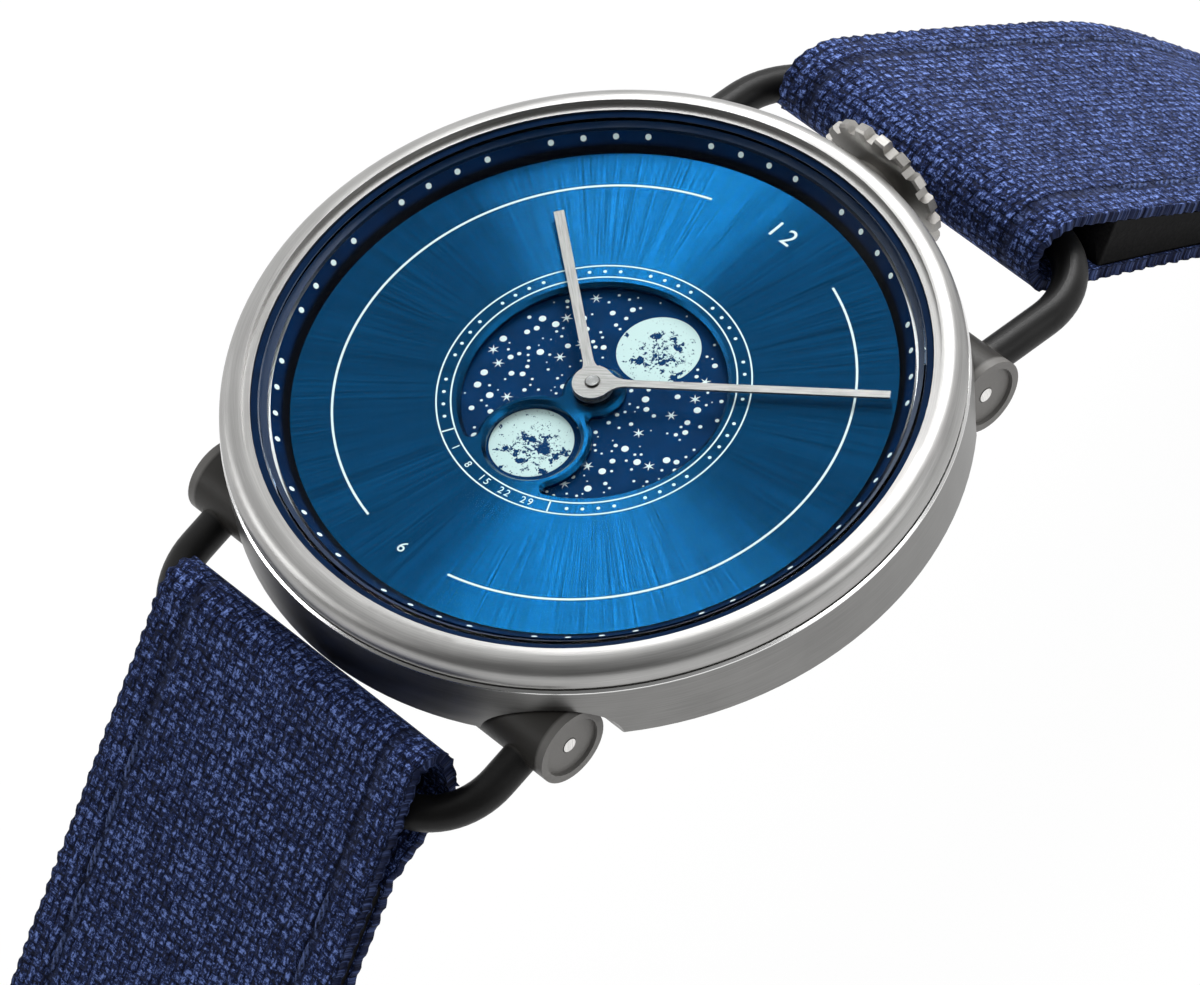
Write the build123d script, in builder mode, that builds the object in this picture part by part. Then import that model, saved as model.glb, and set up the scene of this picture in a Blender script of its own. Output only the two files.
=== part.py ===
from build123d import *
import math
import os

# Moon phase wristwatch: round steel case, hinged black wire bails, folded canvas strap.
# Millimetres. The origin is the centre of the case back's outer face. +Z points out of
# the dial, +Y to 12 o'clock and the crown, +X to 3 o'clock. The strap hangs as it was
# photographed: both halves slope down from the case and run out flat.

os.makedirs("parts", exist_ok=True)

# Shared clearances and cutting overrun
running_gap = 0.05
fit_gap = 0.02
soft_gap = 0.15
layer_gap = 0.04
overrun = 1.0

# Dial aperture and the free ring that frames the moon
aperture_r = 7.3
boss_r = 1.75
window_rim_overlap = 0.5
window_boss_overlap = 0.35
window_ring_w = 0.6
window_outer_r = (aperture_r + window_rim_overlap - boss_r + window_boss_overlap) / 2
window_inner_r = window_outer_r - window_ring_w
window_y = window_outer_r - aperture_r - window_rim_overlap
window_bevel = 0.2
horn_round_r = 0.28

# Motion work and moon train: teeth and centre distances
cannon_teeth = 12
minute_wheel_teeth = 36
minute_pinion_teeth = 10
hour_wheel_teeth = 40
hour_pinion_teeth = 8
moon_wheel_teeth = 59
moon_pinion_teeth = 6
moon_disc_teeth = 96
addendum_share = 0.8
dedendum_share = 1.2
wheel_tip_share = 0.2
wheel_root_share = 0.58
leaf_tip_share = 0.18
leaf_root_share = 0.5
motion_distance = 3.84
moon_cover = 0.45
moon_pitch_r = aperture_r + moon_cover
moon_module = 2 * moon_pitch_r / moon_disc_teeth
moon_distance = moon_pitch_r + moon_module * moon_pinion_teeth / 2
moon_wheel_module = 2 * moon_distance / (hour_pinion_teeth + moon_wheel_teeth)
minute_module = 2 * motion_distance / (cannon_teeth + minute_wheel_teeth)
hour_module = 2 * motion_distance / (minute_pinion_teeth + hour_wheel_teeth)
minute_wheel_tip_r = minute_module * (minute_wheel_teeth / 2 + addendum_share)
moon_wheel_tip_r = moon_wheel_module * (moon_wheel_teeth / 2 + addendum_share)
moon_pinion_tip_r = moon_module * (moon_pinion_teeth / 2 + addendum_share)
moon_plate_gap = 0.32
moon_plate_r = moon_distance - moon_pinion_tip_r - moon_plate_gap
arbor_r = 0.25

# Centre post and the pipes round it, from the inside out
centre_post_r = 0.25
cannon_wall = 0.12
hour_pipe_wall = 0.21
tube_gap = 0.08
moon_tube_wall = 0.24
cannon_bore_r = centre_post_r + running_gap
cannon_r = cannon_bore_r + cannon_wall
hour_bore_r = cannon_r + running_gap
hour_pipe_r = hour_bore_r + hour_pipe_wall
moon_tube_bore_r = hour_pipe_r + tube_gap
moon_tube_r = moon_tube_bore_r + moon_tube_wall

# Setting work: the stem's inner end, then the plate's edge outside it
stem_block_gap = 0.752
stem_block_w = 3.6
stem_end_inset = 0.6
stem_groove_inset = 1.5
stem_groove_w = 0.5
stem_groove_r = 0.25
crown_pull = 0.6
lever_w = 1.5
lever_t = 0.36
lever_h = 1.15
plate_rim_w = 3.2
stem_block_y = motion_distance + minute_wheel_tip_r + stem_block_gap
stem_inner_y = stem_block_y + stem_end_inset
stem_groove_y = stem_inner_y + stem_groove_inset
plate_r = stem_groove_y + plate_rim_w

# Case radii, from the movement outwards
movement_ring_w = 0.4
movement_ring_inner_r = plate_r + running_gap
movement_ring_outer_r = movement_ring_inner_r + movement_ring_w
movement_bore_r = movement_ring_outer_r + running_gap
train_room = 0.268
train_bore_r = moon_distance + moon_wheel_tip_r + train_room
dial_ledge_w = 1.45
dial_seat_r = train_bore_r + dial_ledge_w
dial_r = dial_seat_r - running_gap
bezel_foot_overlap = 0.32
crystal_seat_w = 0.48
gasket_w = 0.4
bezel_ring_w = 0.45
bezel_w = 1.45
crystal_seat_r = dial_seat_r + bezel_foot_overlap
crystal_r = crystal_seat_r + crystal_seat_w
bezel_ring_r = crystal_r + gasket_w
bezel_lip_r = bezel_ring_r + bezel_ring_w
case_r = bezel_lip_r + bezel_w
case_edge_chamfer = 0.12
rim_line_drop = 0.1
rim_ledge_w = 0.2
rim_ledge_r = case_r - rim_ledge_w
bezel_bottom_r = rim_ledge_r - rim_ledge_w
bezel_round_r = 1.24
bezel_inset = 0.1
bezel_round_centre_r = case_r - bezel_inset - bezel_round_r
flange_w = 0.75
flange_lean = 0.2
flange_outer_r = dial_r
flange_inner_r = flange_outer_r - flange_w
flange_top_r = flange_outer_r + flange_lean

# Heights, from the case back up
back_floor_t = 1.0
back_wall_h = 1.1
back_plug_h = 0.36
plate_gap = 0.06
plate_t = 0.95
wheel_t = 0.2
level_gap = 0.1
moon_plate_t = 0.12
moon_disc_gap = 0.15
moon_disc_t = 0.15
dial_moon_gap = 0.2
dial_t = 0.45
case_rim_h = 0.48
crystal_rise = 0.43
crystal_t = 0.9
crystal_bevel = 0.12
bezel_foot_rise = 0.12
bezel_round_rise = 0.5
case_bottom_z = back_floor_t + back_wall_h
back_rim_top_z = case_bottom_z - fit_gap
back_plug_top_z = back_rim_top_z + back_plug_h
plate_bottom_z = back_plug_top_z + plate_gap
plate_top_z = plate_bottom_z + plate_t
minute_level_z = plate_top_z + level_gap
hour_level_z = minute_level_z + wheel_t + level_gap
moon_wheel_level_z = hour_level_z + wheel_t + level_gap
moon_plate_z = moon_wheel_level_z + wheel_t + level_gap
train_floor_z = moon_wheel_level_z - level_gap
movement_ring_top_z = train_floor_z - running_gap
moon_top_z = moon_plate_z + moon_plate_t + moon_disc_gap + moon_disc_t
dial_bottom_z = moon_top_z + dial_moon_gap
dial_top_z = dial_bottom_z + dial_t
case_top_z = dial_top_z + case_rim_h
crystal_bottom_z = case_top_z + crystal_rise
crystal_top_z = crystal_bottom_z + crystal_t
bezel_foot_z = case_top_z + bezel_foot_rise
bezel_round_centre_z = case_top_z + bezel_round_rise
bezel_ring_z = crystal_top_z + running_gap
flange_lip_z = crystal_bottom_z - running_gap

# Case back and its fasteners
back_rim_w = 1.55
back_edge_r = 0.25
back_wall = 1.1
back_seal_w = 0.33
back_groove_rise = 0.07
back_groove_h = 0.22
back_screw_inset = 0.7
screw_shank_r = 0.4
screw_head_r = 0.6
screw_head_t = 0.45
screw_depth = 1.0
screw_slot_w = 0.2
screw_slot_depth = 0.18
back_r = movement_bore_r + back_rim_w
back_cavity_r = movement_bore_r - back_wall
back_plug_r = movement_bore_r - fit_gap
back_groove_r = back_plug_r - back_seal_w
back_groove_z = back_rim_top_z + back_groove_rise
back_screw_ring_r = movement_bore_r + back_screw_inset

# Strap width and thickness, which set the bails' legs and the buckle
strap_w = 20.0
canvas_t = 0.7
core_t = 0.85
strap_t = canvas_t + core_t
fold_t = strap_t + canvas_t

# Hinge barrels on the bails' legs, and the notches that hold them
wire_r = 1.01
leg_gap = 1.04
leg_x = strap_w / 2 + leg_gap + wire_r
barrel_r = 2.25
barrel_inner_w = 4.55
barrel_outer_w = 2.05
barrel_inner_x = leg_x - barrel_inner_w
barrel_outer_x = leg_x + barrel_outer_w
barrel_recess_r = 1.8
barrel_recess_depth = 0.25
notch_gap = 0.2
knuckle_end_x = barrel_inner_x - notch_gap
hinge_back_gap = 0.518
rod_back_gap = 0.75
hinge_drop = 0.15
barrel_clear_y = math.sqrt(back_r**2 - barrel_inner_x**2) + barrel_r + hinge_back_gap
hinge_y = max(back_r + rod_back_gap, barrel_clear_y)
hinge_z = case_bottom_z - hinge_drop
hinge_rod_r = 0.42
hinge_rod_inset = 0.22
hinge_rod_half = barrel_outer_x - hinge_rod_inset
hinge_bore_r = hinge_rod_r + running_gap

# Crown, stem and tube
stem_block_clear = 0.13
stem_cover = 0.62
stem_block_top_z = moon_wheel_level_z - stem_block_clear
stem_z = stem_block_top_z - stem_cover
crown_teeth = 17
crown_tip_r = 4.28
crown_tooth_h = 0.5
crown_root_r = crown_tip_r - crown_tooth_h
crown_tip_share = 0.42
crown_root_share = 0.7
crown_phase = 82.5
crown_hub_gap = 0.35
crown_hub_t = 0.4
crown_t = 0.85
crown_hub_y = case_r + crown_hub_gap
crown_inner_y = crown_hub_y + crown_hub_t
crown_outer_y = crown_inner_y + crown_t
crown_edge_chamfer = 0.14
crown_dish = 0.15
crown_hub_r = 2.1
crown_recess_r = 0.95
crown_recess_depth = 0.65
tube_outer_r = 0.75
tube_bore_r = 0.6
tube_outer_y = crown_inner_y - running_gap
stem_r = 0.42
stem_seat_depth = 0.3
crown_gasket_inset = 0.2
crown_gasket_y = case_r - crown_gasket_inset
crown_gasket_t = 0.4

# Wire bails: each reaches to its strap's fold; the one at 12 clears the pulled crown
fold_12_gap = 0.35
fold_12_wire_inset = 3.8185
fold_12_rise = 1.2515
bail_12_bend_r = 5.0
bail_12_tilt = 6.9
fold_12_front = crown_outer_y + crown_pull + fold_12_gap
rod_12_y = fold_12_front + fold_12_wire_inset
bail_12_reach = (rod_12_y - hinge_y) / math.cos(math.radians(bail_12_tilt))
rod_12_z = hinge_z - bail_12_reach * math.sin(math.radians(bail_12_tilt))
fold_6_gap = 0.1
fold_6_wire_inset = 3.0881
fold_6_rise = 2.4905
fold_6_foot_rise = 0.2105
bail_6_bend_r = 4.42
bail_6_tilt = 16.0
fold_6_front = case_r + fold_6_gap
rod_6_y = fold_6_front + fold_6_wire_inset
bail_6_reach = (rod_6_y - hinge_y) / math.cos(math.radians(bail_6_tilt))
rod_6_z = hinge_z - bail_6_reach * math.sin(math.radians(bail_6_tilt))
wire_room_gap = 0.2

# Movement: battery, circuit board, bridge, coil and stator under the plate
battery_r = 3.4
battery_t = 2.1
battery_x = -6.2
battery_y = -3.6
battery_rise = 0.18
battery_bottom_z = back_floor_t + battery_rise
battery_lip = 0.35
clamp_t = 0.1
clamp_w = 2.4
clamp_len = 5.6
board_inset = 1.0
board_r = plate_r - board_inset
board_t = 0.25
board_gap = 0.09
board_z = plate_bottom_z - board_gap - board_t
bridge_inset = 1.4
bridge_r = plate_r - bridge_inset
bridge_t = 0.4
pillar_h = 0.48
bridge_bottom_z = plate_bottom_z - pillar_h - bridge_t
bridge_x = 0.8
pillar_r = 0.6
pillar_inset = 1.3
pillar_ring_r = bridge_r - pillar_inset
movement_screw_head_r = 0.55
movement_screw_head_t = 0.3
movement_screw_r = 0.28
coil_len = 6.4
coil_r = 0.5
coil_core_w = 0.5
coil_core_len = 8.6
coil_bridge_gap = 0.4
coil_board_gap = 0.06
coil_x = bridge_x - coil_bridge_gap - coil_core_len / 2
coil_y = 6.6
coil_z = board_z - coil_board_gap - coil_r
stator_w = 2.4
stator_t = 0.3
stator_hole_r = 0.75
stator_inset = 1.9
stator_y = coil_y - stator_inset
stem_slot_w = 1.6

# Hands
hour_hand_angle = 305.0
minute_hand_angle = 52.2
minute_hand_gap = 0.3
minute_hand_len = flange_inner_r - minute_hand_gap
hour_hand_short = 3.7
hour_hand_len = minute_hand_len - hour_hand_short
hour_hand_w = 0.58
hour_hand_rise = 0.2
hour_hand_z = dial_top_z + hour_hand_rise
hour_hand_t = 0.16
minute_hand_w = 0.46
hand_gap = 0.14
minute_hand_z = hour_hand_z + hour_hand_t + hand_gap
minute_hand_t = 0.15
hand_hub_w = 0.45
hand_hub_r = hour_pipe_r + hand_hub_w
hand_flare_r = 1.3
cap_inset = 0.06
cap_r = cannon_r - cap_inset
cap_t = 0.12

# Strap: canvas folded over a dark core, in two halves
floor_z = -38.2
return_end = 34.0
closing_bend_r = 25.0
fold_12_r = 2.1
fold_12_z = rod_12_z + fold_12_rise
fold_12_wedge = 2.6
fold_12_foot_turn = 235.0
core_12_start = 5.8
shoulder_12_len = 2.8
shoulder_12_turn = 37.0
slope_12_len = 20.0
slope_12_turn = 3.0
arch_12_len = 9.0
arch_12_turn = 12.0
drop_12_len = 9.0
drop_12_turn = 1.0
flat_12_len = 14.0
fold_6_r = 1.65
fold_6_z = rod_6_z + fold_6_rise
fold_6_turn = 56.0
fold_6_wedge = 2.87
fold_6_wedge_len = 6.76
core_6_start = 6.8
fold_6_foot_z = rod_6_z + fold_6_foot_rise
fold_6_foot_r = 1.0
fold_6_foot_turn = 240.0
slope_6_len = 3.0
slope_6_turn = 3.0
drop_6_len = 21.0
flat_6_len = 52.0
path_step = 2.4
straight_turn_limit = 0.05
hole_count = 6
hole_pitch = 6.5
hole_r = 0.9
hole_first = 14.0

# Keepers and buckle at the end of the 12 o'clock strap
keeper_t = 0.7
keeper_w = 4.0
keeper_clear = 0.15
keeper_room = 1.8
fixed_keeper_from_end = 4.0
keeper_travel = 2.2
keeper_stop_gap = 0.4
free_keeper_from_end = fixed_keeper_from_end + keeper_w + keeper_travel + keeper_stop_gap
eye_wall = 0.7
eye_reach = 1.0
buckle_rod_r = 0.6
buckle_side_gap = 0.5
buckle_inner_half = strap_w / 2 + buckle_side_gap
buckle_side_w = 1.9
buckle_t = 2.0
buckle_reach = 9.5
buckle_cross_w = 2.1
buckle_ear_r = 1.35
tongue_w = 1.7
tongue_ring_r = 1.15
tongue_t = 0.75
tongue_over = 1.1
tongue_slot_gap = 0.25
tongue_root_share = 0.3
tongue_rise_share = 0.26
buckle_corner_r = 1.5


def save(piece, label):
    # Label a finished piece and write it as its own file
    piece.part.label = label
    export_step(piece.part, "parts/" + label + ".step")


def polar(radius, angle):
    # A point at this radius and this angle in degrees, counter-clockwise from +X
    return (radius * math.cos(math.radians(angle)), radius * math.sin(math.radians(angle)))


def tooth_points(centre, teeth, radii, shares, phase):
    # Corner points of a ring of straight-sided teeth, one tooth centred on the phase
    root_r, tip_r = radii
    root_share, tip_share = shares
    pitch = 360 / teeth
    corners = (
        (root_r, -pitch * root_share / 2),
        (tip_r, -pitch * tip_share / 2),
        (tip_r, pitch * tip_share / 2),
        (root_r, pitch * root_share / 2),
    )
    points = []
    for tooth in range(teeth):
        for radius, turn in corners:
            dx, dy = polar(radius, phase + tooth * pitch + turn)
            points.append((centre[0] + dx, centre[1] + dy))
    return points


def gear_points(centre, teeth, module, phase, leaves=False):
    # Outline of a clock wheel, or of a pinion with slimmer leaves
    pitch_r = module * teeth / 2
    shares = (leaf_root_share, leaf_tip_share) if leaves else (wheel_root_share, wheel_tip_share)
    radii = (pitch_r - module * dedendum_share, pitch_r + module * addendum_share)
    return tooth_points(centre, teeth, radii, shares, phase)


def disc(z, radius, height, centre=(0, 0), bore=0, mode=Mode.ADD):
    # A flat round at height z, with a bore when one is given
    with BuildSketch(Plane.XY.offset(z)) as round_face:
        with Locations(centre):
            Circle(radius)
            if bore:
                Circle(bore, mode=Mode.SUBTRACT)
    extrude(round_face.sketch, amount=height, mode=mode)


def wheel(z, outline, bore, centre=(0, 0), height=wheel_t):
    # A toothed wheel from its outline, with its bore
    with BuildSketch(Plane.XY.offset(z)) as toothed_face:
        with BuildLine():
            Polyline(outline, close=True)
        make_face()
        if bore:
            with Locations(centre):
                Circle(bore, mode=Mode.SUBTRACT)
    extrude(toothed_face.sketch, amount=height)


# Case middle: a turned ring, bored in steps, with a notch for each hinge barrel
with BuildPart() as case_middle:
    with BuildSketch(Plane.XZ) as ring_profile:
        with BuildLine():
            Polyline(
                (movement_bore_r, case_bottom_z),
                (case_r - case_edge_chamfer, case_bottom_z),
                (case_r, case_bottom_z + case_edge_chamfer),
                (case_r, case_top_z - case_edge_chamfer),
                (case_r - case_edge_chamfer, case_top_z),
                (rim_ledge_r, case_top_z),
                (rim_ledge_r, case_top_z - rim_line_drop),
                (dial_seat_r, case_top_z - rim_line_drop),
                (dial_seat_r, dial_bottom_z),
                (train_bore_r, dial_bottom_z),
                (train_bore_r, train_floor_z),
                (movement_bore_r, train_floor_z),
                close=True,
            )
        make_face()
    revolve(axis=Axis.Z)
    # Two hinge knuckles under the flank, between the barrels
    for side in (-1, 1):
        with BuildSketch(Plane.YZ.offset(-knuckle_end_x)) as knuckle_round:
            with Locations((side * hinge_y, hinge_z)):
                Circle(barrel_r)
        extrude(amount=2 * knuckle_end_x)
    # Room for the case back and the movement, then the barrel notches
    disc(hinge_z - barrel_r - overrun, back_r + soft_gap, case_bottom_z - hinge_z + barrel_r + overrun,
         mode=Mode.SUBTRACT)
    disc(hinge_z - barrel_r, movement_bore_r, case_top_z, mode=Mode.SUBTRACT)
    for side in (-1, 1):
        for notch_start in (knuckle_end_x, -case_r):
            with BuildSketch(Plane.YZ.offset(notch_start)) as notch_round:
                with Locations((side * hinge_y, hinge_z)):
                    Circle(barrel_r + notch_gap)
            extrude(amount=case_r - knuckle_end_x, mode=Mode.SUBTRACT)
    # Bores for the hinge rods, the crown tube and the case back screws
    with Locations((0, hinge_y, hinge_z), (0, -hinge_y, hinge_z)):
        Cylinder(hinge_rod_r + fit_gap, 2 * case_r, rotation=(0, 90, 0), mode=Mode.SUBTRACT)
    with BuildSketch(Plane.XZ.offset(-movement_bore_r + overrun)) as tube_bore:
        with Locations((0, stem_z)):
            Circle(tube_outer_r + fit_gap)
    extrude(amount=-(case_r - movement_bore_r + 2 * overrun), mode=Mode.SUBTRACT)
    with BuildSketch(Plane.XY.offset(case_bottom_z)) as screw_bores:
        with PolarLocations(back_screw_ring_r, 4, start_angle=45):
            Circle(screw_shank_r + fit_gap)
    extrude(amount=screw_depth + running_gap, mode=Mode.SUBTRACT)
save(case_middle, "case_middle")

# Bezel: a rounded brushed band, stepping down to a flat ring round the crystal
bezel_start_angle = math.degrees(math.asin((bezel_foot_z - bezel_round_centre_z) / bezel_round_r))
bezel_lip_angle = math.degrees(math.acos((bezel_lip_r - bezel_round_centre_r) / bezel_round_r))
bezel_foot_r = bezel_round_centre_r + bezel_round_r * math.cos(math.radians(bezel_start_angle))
bezel_lip_z = bezel_round_centre_z + bezel_round_r * math.sin(math.radians(bezel_lip_angle))
with BuildPart() as bezel:
    with BuildSketch(Plane.XZ) as bezel_profile:
        with BuildLine():
            CenterArc(
                (bezel_round_centre_r, bezel_round_centre_z),
                bezel_round_r,
                bezel_start_angle,
                bezel_lip_angle - bezel_start_angle,
            )
            Polyline(
                (bezel_lip_r, bezel_lip_z),
                (bezel_lip_r, bezel_ring_z),
                (bezel_ring_r, bezel_ring_z),
                (bezel_ring_r, crystal_bottom_z),
                (crystal_seat_r, crystal_bottom_z),
                (crystal_seat_r, case_top_z - rim_line_drop),
                (bezel_bottom_r, case_top_z - rim_line_drop),
                (bezel_bottom_r, bezel_foot_z),
                (bezel_foot_r, bezel_foot_z),
            )
        make_face()
    revolve(axis=Axis.Z)
save(bezel, "bezel")

# Sapphire crystal and the gasket that grips its edge
with BuildPart() as crystal:
    disc(crystal_bottom_z, crystal_r, crystal_t)
    chamfer(crystal.faces().sort_by(Axis.Z)[-1].edges(), length=crystal_bevel)
save(crystal, "crystal")

with BuildPart() as crystal_gasket:
    disc(crystal_bottom_z, bezel_ring_r - fit_gap, crystal_t - crystal_bevel, bore=crystal_r + fit_gap)
save(crystal_gasket, "crystal_gasket")

# Flange: the sloped minute ring that stands on the dial's edge
with BuildPart() as flange_ring:
    with BuildSketch(Plane.XZ) as flange_profile:
        with BuildLine():
            Polyline(
                (flange_inner_r, dial_top_z),
                (flange_outer_r, dial_top_z),
                (flange_outer_r, case_top_z - rim_line_drop),
                (flange_top_r, case_top_z),
                (flange_top_r, flange_lip_z),
                close=True,
            )
        make_face()
    revolve(axis=Axis.Z)
save(flange_ring, "flange_ring")

# Dial: round aperture with two pointed horns and a free ring that frames the moon
with BuildPart() as dial:
    disc(dial_bottom_z, dial_r, dial_t, bore=moon_tube_bore_r)
    with BuildSketch(Plane.XY.offset(dial_bottom_z)) as sky:
        Circle(aperture_r)
        with Locations((0, window_y)):
            Circle(window_outer_r, mode=Mode.SUBTRACT)
        Circle(boss_r, mode=Mode.SUBTRACT)
        fillet(sky.vertices(), radius=horn_round_r)
    extrude(amount=dial_t, mode=Mode.SUBTRACT)
    disc(dial_bottom_z, window_inner_r, dial_t, centre=(0, window_y), mode=Mode.SUBTRACT)
    dial_holes = dial.faces().sort_by(Axis.Z)[-1].inner_wires().sort_by(SortBy.LENGTH)
    chamfer(dial_holes[-1].edges() + dial_holes[-2].edges(), length=window_bevel)
save(dial, "dial")

# Moon disc: two moons are printed on it; it turns on the moon plate's tube
with BuildPart() as moon_disc:
    moon_disc_outline = gear_points((0, 0), moon_disc_teeth, moon_module, 0)
    wheel(moon_top_z - moon_disc_t, moon_disc_outline, moon_tube_r + running_gap, height=moon_disc_t)
save(moon_disc, "moon_disc")

with BuildPart() as moon_plate:
    disc(moon_plate_z, moon_plate_r, moon_plate_t, bore=moon_tube_bore_r)
    disc(moon_plate_z, moon_tube_r, moon_top_z - moon_plate_z, bore=moon_tube_bore_r)
save(moon_plate, "moon_plate")

# Moon drive wheel: 59 teeth below, a six-leaf pinion above that drives the moon disc
moon_arbor = (moon_distance, 0)
moon_pinion_phase = 180 + 180 / moon_pinion_teeth
moon_wheel_phase = 180 + 180 / moon_wheel_teeth
with BuildPart() as moon_drive_wheel:
    moon_wheel_outline = gear_points(moon_arbor, moon_wheel_teeth, moon_wheel_module, moon_wheel_phase)
    wheel(moon_wheel_level_z, moon_wheel_outline, 0)
    disc(plate_bottom_z + level_gap, arbor_r, moon_wheel_level_z - plate_bottom_z - level_gap, moon_arbor)
    moon_pinion_outline = gear_points(moon_arbor, moon_pinion_teeth, moon_module, moon_pinion_phase, True)
    wheel(moon_wheel_level_z + wheel_t, moon_pinion_outline, 0,
          height=moon_top_z - moon_wheel_level_z - wheel_t)
save(moon_drive_wheel, "moon_drive_wheel")

# Hour wheel: 40 teeth, an eight-leaf pinion for the moon train, and the hour hand's pipe
hour_wheel_phase = 90
with BuildPart() as hour_wheel:
    hour_outline = gear_points((0, 0), hour_wheel_teeth, hour_module, hour_wheel_phase)
    wheel(hour_level_z, hour_outline, hour_bore_r)
    hour_pinion_outline = gear_points((0, 0), hour_pinion_teeth, moon_wheel_module, 0, True)
    wheel(moon_wheel_level_z, hour_pinion_outline, hour_bore_r)
    disc(hour_level_z, hour_pipe_r, hour_hand_z + hour_hand_t - hour_level_z, bore=hour_bore_r)
save(hour_wheel, "hour_wheel")

# Minute wheel: driven by the cannon pinion, its ten-leaf pinion drives the hour wheel
minute_arbor = (0, motion_distance)
minute_wheel_phase = 270 + 180 / minute_wheel_teeth
minute_pinion_phase = 270 + 180 / minute_pinion_teeth
with BuildPart() as minute_wheel:
    minute_outline = gear_points(minute_arbor, minute_wheel_teeth, minute_module, minute_wheel_phase)
    wheel(minute_level_z, minute_outline, 0)
    disc(plate_bottom_z + level_gap, arbor_r, minute_level_z - plate_bottom_z - level_gap, minute_arbor)
    leaf_outline = gear_points(minute_arbor, minute_pinion_teeth, hour_module, minute_pinion_phase, True)
    wheel(minute_level_z + wheel_t, leaf_outline, 0, height=wheel_t + level_gap)
save(minute_wheel, "minute_wheel")

# Cannon pinion: carries the minute hand on its pipe
with BuildPart() as cannon_pinion:
    cannon_outline = gear_points((0, 0), cannon_teeth, minute_module, 90, True)
    wheel(minute_level_z, cannon_outline, cannon_bore_r)
    disc(minute_level_z, cannon_r, minute_hand_z + minute_hand_t - minute_level_z, bore=cannon_bore_r)
save(cannon_pinion, "cannon_pinion")


def build_hand(z, height, length, width, angle, bore):
    # A straight baton that flares smoothly into a round hub
    with BuildPart() as hand:
        with BuildSketch(Plane.XY.offset(z)) as outline:
            with Locations(Location((0, 0), 90 - angle)):
                with Locations((length / 2, 0)):
                    Rectangle(length, width)
                Circle(hand_hub_r)
            corner_x, corner_y = polar(hand_hub_r, 90 - angle)
            near = outline.vertices().sort_by_distance((corner_x, corner_y, z))
            fillet(near[:2], radius=hand_flare_r)
            Circle(bore, mode=Mode.SUBTRACT)
        extrude(amount=height)
    return hand


hour_hand = build_hand(hour_hand_z, hour_hand_t, hour_hand_len, hour_hand_w, hour_hand_angle,
                       hour_pipe_r + fit_gap)
save(hour_hand, "hour_hand")
minute_hand = build_hand(minute_hand_z, minute_hand_t, minute_hand_len, minute_hand_w, minute_hand_angle,
                         cannon_r + fit_gap)
save(minute_hand, "minute_hand")

with BuildPart() as hand_cap:
    disc(minute_hand_z + minute_hand_t + fit_gap / 2, cap_r, cap_t)
save(hand_cap, "hand_cap")

# Case back: a dished plate with a plug, a seal groove and four sunk screws
with BuildPart() as case_back:
    disc(0, back_r, back_rim_top_z)
    fillet(case_back.faces().sort_by(Axis.Z)[0].edges(), radius=back_edge_r)
    disc(back_rim_top_z, back_plug_r, back_plug_top_z - back_rim_top_z)
    disc(back_floor_t, back_cavity_r, back_plug_top_z, mode=Mode.SUBTRACT)
    disc(back_groove_z, back_r, back_groove_h, bore=back_groove_r, mode=Mode.SUBTRACT)
    with BuildSketch(Plane.XY) as head_seats:
        with PolarLocations(back_screw_ring_r, 4, start_angle=45):
            Circle(screw_head_r + running_gap)
    extrude(amount=screw_head_t + running_gap, mode=Mode.SUBTRACT)
    with BuildSketch(Plane.XY) as shank_bores:
        with PolarLocations(back_screw_ring_r, 4, start_angle=45):
            Circle(screw_shank_r + running_gap)
    extrude(amount=case_bottom_z, mode=Mode.SUBTRACT)
save(case_back, "case_back")

with BuildPart() as case_back_gasket:
    disc(back_groove_z + fit_gap, back_plug_r, back_groove_h - 2 * fit_gap, bore=back_groove_r + fit_gap)
save(case_back_gasket, "case_back_gasket")

with BuildPart() as case_back_screws:
    with BuildSketch(Plane.XY) as back_heads:
        with PolarLocations(back_screw_ring_r, 4, start_angle=45):
            Circle(screw_head_r)
    extrude(amount=screw_head_t)
    with BuildSketch(Plane.XY) as back_shanks:
        with PolarLocations(back_screw_ring_r, 4, start_angle=45):
            Circle(screw_shank_r)
    extrude(amount=case_bottom_z + screw_depth)
    with BuildSketch(Plane.XY) as back_slots:
        with PolarLocations(back_screw_ring_r, 4, start_angle=45):
            Rectangle(2 * screw_head_r, screw_slot_w)
    extrude(amount=screw_slot_depth, mode=Mode.SUBTRACT)
save(case_back_screws, "case_back_screws")


def crown_axis_ring(y, radius, length, bore=0, mode=Mode.ADD):
    # A round along the stem, from y outwards
    with BuildSketch(Plane.XZ.offset(-y)) as round_face:
        with Locations((0, stem_z)):
            Circle(radius)
            if bore:
                Circle(bore, mode=Mode.SUBTRACT)
    extrude(round_face.sketch, amount=-length, mode=mode)


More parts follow.
